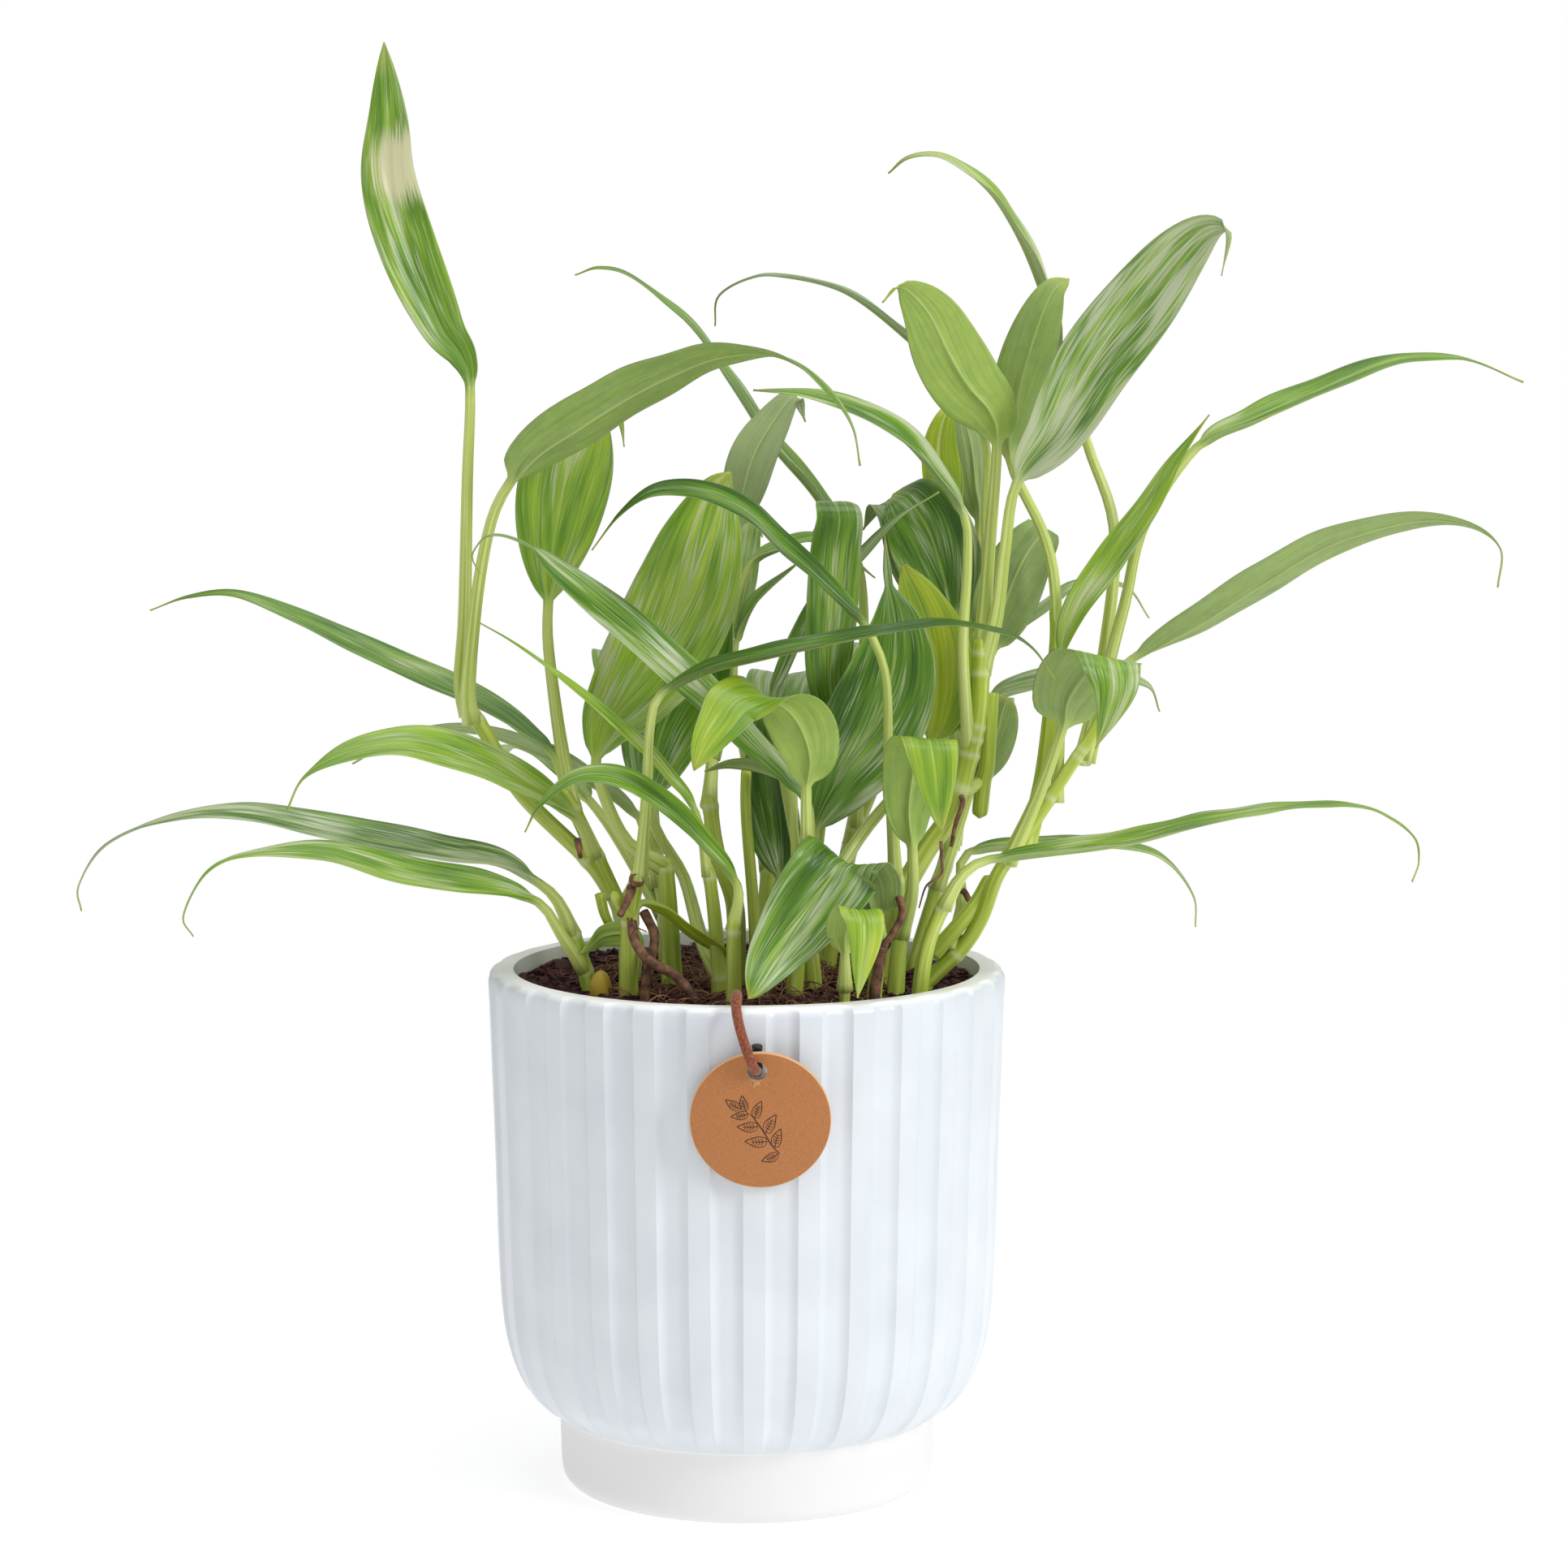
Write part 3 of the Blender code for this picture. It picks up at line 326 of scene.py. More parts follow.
# One flute and one ridge are spun from the outline, and then repeated round the pot.
working = bmesh.new()
ring = [working.verts.new((r * MM, 0.0, z * MM)) for r, z in pot_outline()]
ring_edges = [working.edges.new(pair) for pair in zip(ring, ring[1:])]
pitch = 2 * math.pi / FLUTES
steps = STEPS_IN_FLUTE + STEPS_ON_RIDGE
bmesh.ops.spin(working, geom=ring + ring_edges, cent=(0, 0, 0), axis=(0, 0, 1), angle=pitch, steps=steps)
for vert in working.verts:
    radius = math.hypot(vert.co.x, vert.co.y) / MM
    height = vert.co.z / MM
    share = flute_share(round(math.atan2(vert.co.y, vert.co.x) / pitch * steps))
    angle = -math.pi / 2 + FLUTE_PHASE + share * pitch
    outer = radius > PARTING_RADIUS + height * PARTING_SLOPE and (
        height < BELLY_HEIGHT or radius > UPPER_PARTING_RADIUS)
    if outer and height > FLUTE_FOOT:
        depth = flute_depth(height, share)
        radius -= depth * (SHALLOW_SHARE if height < SHALLOW_BELOW else 1.0)
        vert.co.z += depth * LIFT_SHARE * MM * max(0.0, (LIFTED_BELOW - height) / LIFTED_OVER)
    vert.co.x = radius * MM * math.cos(angle)
    vert.co.y = radius * MM * math.sin(angle)
wedge = [*working.verts, *working.edges, *working.faces]
bmesh.ops.spin(working, geom=wedge, cent=(0, 0, 0), axis=(0, 0, 1), angle=2 * math.pi - pitch,
               steps=FLUTES - 1, use_duplicate=True)
bmesh.ops.remove_doubles(working, verts=working.verts, dist=1e-6)
bmesh.ops.recalc_face_normals(working, faces=working.faces)


def mapped(tree, value, start, end, at_end=1.0, at_start=0.0, **settings):
    """The value's way from start to end, as a number that goes from at_start to at_end."""
    return add_node(tree, "MapRange", {0: value, 1: start, 2: end, 3: at_start, 4: at_end},
                    **settings).outputs[0]


def calculate(tree, kind, operation, *values):
    """The result of a Math or VectorMath node."""
    made = add_node(tree, kind, dict(enumerate(values)), operation=operation)
    return made.outputs["Value" if operation == "LENGTH" else 0]


def mix_colours(tree, share, first, second):
    """The first colour where the share is 0, and the second, a socket or a hex code, where it is 1."""
    if isinstance(second, str):
        second = hex_colour(second)
    return add_node(tree, "Mix", {0: share, 6: first, 7: second}, data_type="RGBA").outputs[2]


# Glazed earthenware: a thin satin glaze, cool white with a faint mottle. The rim's crown and the inside
# wall above the soil are painted a brighter white, as painted light. It ends at the foot, which is a
# matte, warmer white.
GLAZE_MOTTLE_MM = 18.0
GLAZE_ROUGHNESS = 0.34
FOOT_ROUGHNESS = 0.62
# Heights or radii between which one look fades to the next.
FOOT_FADE = (20.6 * MM, 20.0 * MM)
CROWN_PAINTED_LIGHT_FADE = (140.4 * MM, 141.6 * MM)
INSIDE_PAINTED_LIGHT_FADE = (64.5 * MM, 63.5 * MM)
ABOVE_SOIL_FADE = (100.0 * MM, 101.0 * MM)
glaze, tree, shader = new_material("satin_white_glaze", GLAZE_ROUGHNESS, IOR=1.5, Coat_Weight=0.15,
                                   Coat_Roughness=0.25)
coords = add_node(tree, "TexCoord").outputs["Object"]
height_node = add_node(tree, "SeparateXYZ", {0: coords}).outputs["Z"]
flat = calculate(tree, "VectorMath", "MULTIPLY", coords, (1.0, 1.0, 0.0))
from_axis = calculate(tree, "VectorMath", "LENGTH", flat)
foot_share = mapped(tree, height_node, *FOOT_FADE)
# Painted light: a mask for the rim's crown and the inside wall above the soil, which get a brighter
# white.
inside_painted_light_share = calculate(tree, "Math", "MULTIPLY", mapped(tree, from_axis, *INSIDE_PAINTED_LIGHT_FADE),
                         mapped(tree, height_node, *ABOVE_SOIL_FADE))
rim_painted_light_share = calculate(tree, "Math", "MAXIMUM", mapped(tree, height_node, *CROWN_PAINTED_LIGHT_FADE), inside_painted_light_share)
glaze_colour = colour_ramp(tree, object_noise(tree, GLAZE_MOTTLE_MM, 4.0),
                           (0.3, "#D5DBE1"), (0.7, "#DDE3E8"))
# Painted light: the crown and the inside wall above the soil are mixed to a brighter white than the
# glaze.
glaze_colour = mix_colours(tree, rim_painted_light_share, glaze_colour, "#FAFBFC")
link_surface(tree, shader, mix_colours(tree, foot_share, glaze_colour, "#E9E9E8"))
pot_roughness = mapped(tree, foot_share, 0.0, 1.0, FOOT_ROUGHNESS, GLAZE_ROUGHNESS)
tree.links.new(pot_roughness, shader.inputs["Roughness"])
pot = finish_piece("fluted_pot", working, [glaze], ["pot"])
pot.data.set_sharp_from_angle(angle=math.radians(28))

# Soil.
# Fine chipped bark and peat, dark red-brown, filled to just under the rim, with a mat of coir fibre
# round the stems. The chips and fibres lie loose on it.
SOIL_TOP = 138.0
SOIL_RADIUS = 62.4
SOIL_RINGS = 60
SOIL_SPOKES = 180
SOIL_RELIEF = 1.3
SOIL_SKIRT = 12.0
CHIPS = 2600
CHIP_MARGIN = 2.5
CHIP_SPANS = [(1.2, 4.4), (0.45, 1.2), (0.3, 0.7)]
CHIP_TILT = 0.5
CHIP_LIFT = 0.25
CHIP_JITTER = (0.3, 0.3, 0.15)
BATCH = 50


def soil_height(x, y):
    """The soil's lumpy top."""
    lumps = noise.noise(Vector((x, y, 3.0)) / 9.0) + 0.5 * noise.noise(Vector((x, y, 8.0)) / 3.5)
    return SOIL_TOP + SOIL_RELIEF * lumps


working = bmesh.new()
bmesh.ops.create_circle(working, cap_ends=False, segments=SOIL_SPOKES, radius=SOIL_RADIUS * MM)
hub = working.verts.new((0.0, 0.0, 0.0))
rim_edges = list(working.edges)
for edge in rim_edges:
    working.faces.new((hub, edge.verts[0], edge.verts[1]))
spokes = [edge for edge in working.edges if hub in edge.verts]
bmesh.ops.subdivide_edges(working, edges=spokes, cuts=SOIL_RINGS, use_grid_fill=True)
for vert in working.verts:
    vert.co.z = soil_height(vert.co.x / MM, vert.co.y / MM) * MM
skirt = bmesh.ops.extrude_edge_only(working, edges=[e for e in working.edges if e.is_boundary])
skirt_verts = [item for item in skirt["geom"] if isinstance(item, bmesh.types.BMVert)]
for vert in skirt_verts:
    vert.co.z = (SOIL_TOP - SOIL_SKIRT) * MM
bmesh.ops.holes_fill(working, edges=[e for e in working.edges if e.is_boundary], sides=0)
bmesh.ops.recalc_face_normals(working, faces=working.faces)
rng = random.Random(7)


def add_chip(batch):
    """A chip of bark, lying on the soil: a box with its corners moved."""
    reach = (SOIL_RADIUS - CHIP_MARGIN) * math.sqrt(rng.random())
    angle = rng.uniform(0, 2 * math.pi)
    x, y = reach * math.cos(angle), reach * math.sin(angle)
    size = Vector([rng.uniform(*span) for span in CHIP_SPANS])
    turn = Matrix.Rotation(rng.uniform(0, math.pi), 4, "Z")
    turn = turn @ Matrix.Rotation(rng.uniform(-CHIP_TILT, CHIP_TILT), 4, "Y")
    seat = Matrix.Translation(Vector((x, y, soil_height(x, y) + CHIP_LIFT)) * MM)
    chip = bmesh.ops.create_cube(batch, size=MM, matrix=seat @ turn @ Matrix.Diagonal((*size, 1.0)))
    for vert in chip["verts"]:
        vert.co += Vector([rng.uniform(-most, most) for most in CHIP_JITTER]) * MM


def add_many(working, count, add_one):
    """Adds many small shapes in batches, since an operator slows down as its mesh grows."""
    batch_mesh = bpy.data.meshes.new("batch")
    for start in range(0, count, BATCH):
        batch = bmesh.new()
        for _ in range(min(BATCH, count - start)):
            add_one(batch)
        batch.to_mesh(batch_mesh)
        batch.free()
        working.from_mesh(batch_mesh)
    bpy.data.meshes.remove(batch_mesh)


add_many(working, CHIPS, add_chip)

# Potting soil: damp peat and bark, almost black in places and a lighter red-brown in others.
BARK_GRAIN_MM = 1.6
BARK_PATCH_MM = 2.4
potting_soil, tree, shader = new_material("peat_and_bark", 0.92)
grain = object_noise(tree, BARK_GRAIN_MM, 5.0, 0.7)
coords = add_node(tree, "TexCoord").outputs["Object"]
patches = add_node(tree, "TexVoronoi", {"Vector": coords, "Scale": 1 / (BARK_PATCH_MM * MM)})
tone = add_node(tree, "Mix", {0: 0.45, 2: grain, 3: patches.outputs["Color"]}).outputs[0]
soil_colour = colour_ramp(tree, tone, (0.25, "#200D10"), (0.8, "#723A38"), (0.5, "#442024"))
link_surface(tree, shader, soil_colour, grain, 0.8, 0.5)
soil = finish_piece("potting_soil", working, [potting_soil], ["soil"])
soil.data.set_sharp_from_angle(angle=math.radians(40))

# Coir: dry coconut fibre, pale brown, in loose curls about a centimetre long.
FIBRES = 900
FIBRE_REACH = 54.0
FIBRE_BEND = 1.0
FIBRE_RISE = (0.4, 3.4)
FIBRE_STEP = (1.4, 2.6)
FIBRE_RADIUS = (0.08, 0.2)
COIR_SHADE_MM = 6.0
coir, tree, shader = new_material("coir_fibre", 0.8)
shade = object_noise(tree, COIR_SHADE_MM, 2.0)
link_surface(tree, shader, colour_ramp(tree, shade, (0.35, "#54352A"), (0.65, "#A87C58")))


def add_fibre(batch):
    """A fibre that rises from the soil and comes down again, unless it would pass through the wall."""
    reach = FIBRE_REACH * rng.random() ** 0.7
    angle = rng.uniform(0, 2 * math.pi)
    at = Vector((reach * math.cos(angle), reach * math.sin(angle), 0.0))
    heading = rng.uniform(0, 2 * math.pi)
    bend = rng.uniform(-FIBRE_BEND, FIBRE_BEND)
    rise = rng.uniform(*FIBRE_RISE)
    line = []
    for i in range(6):
        lift = rise * math.sin(math.pi * (i + 0.4) / 5.4)
        line.append(Vector((at.x, at.y, soil_height(at.x, at.y) + 0.1 + lift)))
        heading += bend
        at = at + Vector((math.cos(heading), math.sin(heading), 0.0)) * rng.uniform(*FIBRE_STEP)
    radius = rng.uniform(*FIBRE_RADIUS)
    if max(math.hypot(p.x * 1.4, p.y) for p in line) < SOIL_RADIUS - 1.0:
        add_rod(batch, smooth_line(line, 9), lambda share, angle: radius, 4, (0.0, 0.0, 1.0))


working = bmesh.new()
add_many(working, FIBRES, add_fibre)
finish_piece("coir_fibres", working, [coir])

# Tag.
# A disc stamped from 1.8 mm kraft-coloured leather, with polished pale edges, a punched hole and a
# small sprig engraved in thin brown lines.
TAG_RADIUS = 18.1
TAG_THICKNESS = 1.8
TAG_CENTRE = Vector((4.1, -72.5, 113.8))
TAG_LEAN = math.radians(7.5)
TAG_HOLE_RADIUS = 2.5
TAG_HOLE_PLACE = (-0.8, 13.1)
TAG_EDGE_ROUNDING = 0.35
TAG_SIDES = 144
TAG_HOLE_SIDES = 40
TAG_CORNER = math.radians(60)
tag_place = Matrix.Translation(TAG_CENTRE * MM) @ Matrix.Rotation(math.pi / 2 + TAG_LEAN, 4, "X")
working = bmesh.new()
bmesh.ops.create_circle(working, cap_ends=False, segments=TAG_SIDES, radius=TAG_RADIUS * MM)
hole_matrix = Matrix.Translation((TAG_HOLE_PLACE[0] * MM, TAG_HOLE_PLACE[1] * MM, 0.0))
bmesh.ops.create_circle(working, cap_ends=False, segments=TAG_HOLE_SIDES, radius=TAG_HOLE_RADIUS * MM,
                        matrix=hole_matrix)
bmesh.ops.triangle_fill(working, use_beauty=True, edges=list(working.edges))
for vert in working.verts:
    vert.co.z = -TAG_THICKNESS / 2 * MM
risen = bmesh.ops.extrude_face_region(working, geom=list(working.faces))["geom"]
bmesh.ops.translate(working, vec=(0.0, 0.0, TAG_THICKNESS * MM),
                    verts=[item for item in risen if isinstance(item, bmesh.types.BMVert)])
bmesh.ops.recalc_face_normals(working, faces=working.faces)
corners = [edge for edge in working.edges
           if len(edge.link_faces) == 2 and edge.calc_face_angle() > TAG_CORNER]
bmesh.ops.bevel(working, geom=corners, offset=TAG_EDGE_ROUNDING * MM, affect="EDGES", segments=3,
                profile=0.5, material=-1)

# Vegetable-tanned leather: kraft brown with a fine even grain, and paler where the edge is cut.
TAG_GRAIN_MM = 0.35
kraft_leather, tree, shader = new_material("kraft_leather", 0.55, IOR=1.45)
grain = object_noise(tree, TAG_GRAIN_MM, 3.0)
leather_colour = colour_ramp(tree, grain, (0.3, "#A56838"), (0.7, "#BC7B45"))
link_surface(tree, shader, leather_colour, grain, 0.25, 0.1)

# Cut edge: the paler core of the leather, rubbed smooth. It also frays at the punched hole.
cut_edge = new_material("cut_leather_edge", 0.6, Base_Color=hex_colour("#D9A878"))[0]
for face in working.faces:
    if abs(face.normal.z) < 0.8:
        face.material_index = 1

# Burnt line: where the engraving has scorched the leather. The lines stand a little proud, so that
# they stay visible as shape.
burnt = new_material("burnt_leather_line", 0.75, Base_Color=hex_colour("#40200E"))[0]
LINE_WIDTH = 0.2
LINE_PROUD = 0.08
SPRIG = [Vector((6.6, -10.4, 0)), Vector((3.2, -7.0, 0)), Vector((0.6, -2.6, 0)), Vector((-2.4, 1.6, 0)),
         Vector((-4.6, 3.0, 0))]
# Each leaflet: its place along the stem, the way it leans from the stem's own direction, its length.
LEAFLETS = [(0.5, 68, 5.0), (0.85, -58, 5.6), (1.35, 60, 6.2), (1.75, -56, 6.0), (2.25, 58, 5.8),
            (2.65, -55, 5.2), (3.15, 52, 4.8), (3.5, -48, 4.4), (4.0, 0, 5.0)]
LEAFLET_FULLNESS = 0.23
LEAFLET_BEND = 0.25
LEAFLET_STEPS = 8
FRAY_PLACES = (-0.5, -0.2, 0.1, 0.35)
FRAY_WIDTH = 0.14


def engrave(points, width):
    """A fine half-sunk rod along points that are measured from the tag's face."""
    points = [Vector(p) + Vector((0, 0, TAG_THICKNESS / 2 + LINE_PROUD - width)) for p in points]
    add_rod(working, smooth_line(points, 3 * len(points)),
            lambda share, angle: width * (0.75 + 0.25 * math.sin(math.pi * share)), 6, (0.0, 0.0, 1.0))


def mark_new_faces(working, older, place):
    """Gives the faces that aren't among the older ones the material at a place."""
    for face in set(working.faces) - older:
        face.material_index = place


plain = set(working.faces)
engrave(SPRIG, LINE_WIDTH * 1.5)
for place, lean, length in LEAFLETS:
    foot = curve_point(SPRIG, place)
    stem_way = foot - curve_point(SPRIG, place - 0.05)
    way = Matrix.Rotation(math.radians(lean), 3, "Z") @ stem_way.normalized()
    side = Vector((-way.y, way.x, 0.0))
    shares = [i / LEAFLET_STEPS for i in range(LEAFLET_STEPS + 1)]
    spine = [foot + way * length * s + side * LEAFLET_BEND * math.sin(math.pi * s) for s in shares]
    edges = [side * LEAFLET_FULLNESS * length * math.sin(math.pi * s ** 0.8) for s in shares]
    left = [p + e for p, e in zip(spine[1:], edges[1:])]
    right = [p - e for p, e in zip(spine[-2:0:-1], edges[-2:0:-1])]
    engrave(left + right + left[:1], LINE_WIDTH)
    engrave(spine[:7], LINE_WIDTH * 0.85)
    for i in (2, 3, 4, 5):
        for turn in (1, -1):
            side_vein = (edges[i] * turn + way * length * 0.12) * 0.75
            engrave([spine[i], spine[i] + side_vein], LINE_WIDTH * 0.6)
mark_new_faces(working, plain, 2)
plain = set(working.faces)
for shift in FRAY_PLACES:
    top = Vector((TAG_HOLE_PLACE[0] + shift, TAG_HOLE_PLACE[1] - TAG_HOLE_RADIUS - 0.1, 0.06))
    middle = top + Vector((shift * 0.3, -0.5, 0.08))
    engrave([top, middle, top + Vector((shift * 0.9, -1.1 + shift, 0.0))], FRAY_WIDTH)
mark_new_faces(working, plain, 1)

bmesh.ops.transform(working, matrix=tag_place, verts=working.verts)
tag = finish_piece("leather_tag", working, [kraft_leather, cut_edge, burnt], ["tag"])
tag.data.set_sharp_from_angle(angle=math.radians(35))

# Leafy shoots.
# Each shoot is a jointed green stem, and at each joint a grooved stalk wraps it and carries one long
# blade. The blades are thin and folded along the midrib, arch over and end in a drip tip.
STEM_FOOT = 126.3
BLADE_THICKNESS = 0.5
BLADE_FOLD = 0.35
BROAD = 22
STALK_RADIUS = 1.7
THREAD_SHARE = 0.085
STALK_FOOT = 1.2
STALK_TOP = 0.8
SHEATH_LENGTH = 7.0
LEAF_SIDES = 56
GROOVE_DEPTH = 0.35
PLEAT_HEIGHT = 0.11
VEIN_SPREAD = 0.45
STEM_SIDES = 20
STALK_ROW = 4.0
BLADE_ROW = 1.3
STEM_ROW = 1.1
WAVE_HEIGHT = (0.08, 0.3)
WAVE_LENGTH = (17.0, 26.0)
WAVE_LAG = 2.1
SHEATH_FLARE = 0.35
STALK_GROOVE = 0.22
STALK_GROOVE_TURN = 0.45
FLATTEN_OVER = 0.045
GROOVE_WIDTH = 0.35
EDGE_THICKNESS = 0.04
LEAST_HALF_WIDTH = 0.2
JOINT_REACH = 6.0
JOINT_WIDTH = 1.3
JOINT_SWELL = 0.13
# What each point carries for the materials: its turn round the skin, its place on the blade or along
# the stem, and the leaf's tone, its silver and which side it is on.
LAYERS = ("skin", "place", "look")

Leaf = namedtuple("Leaf", "stalk rib width edge tone silver edge_tip widest fullness tail fold",
                  defaults=(None, 0.37, 0.7, 0.0, 1.0))
Stem = namedtuple("Stem", "path radius tip_radius")

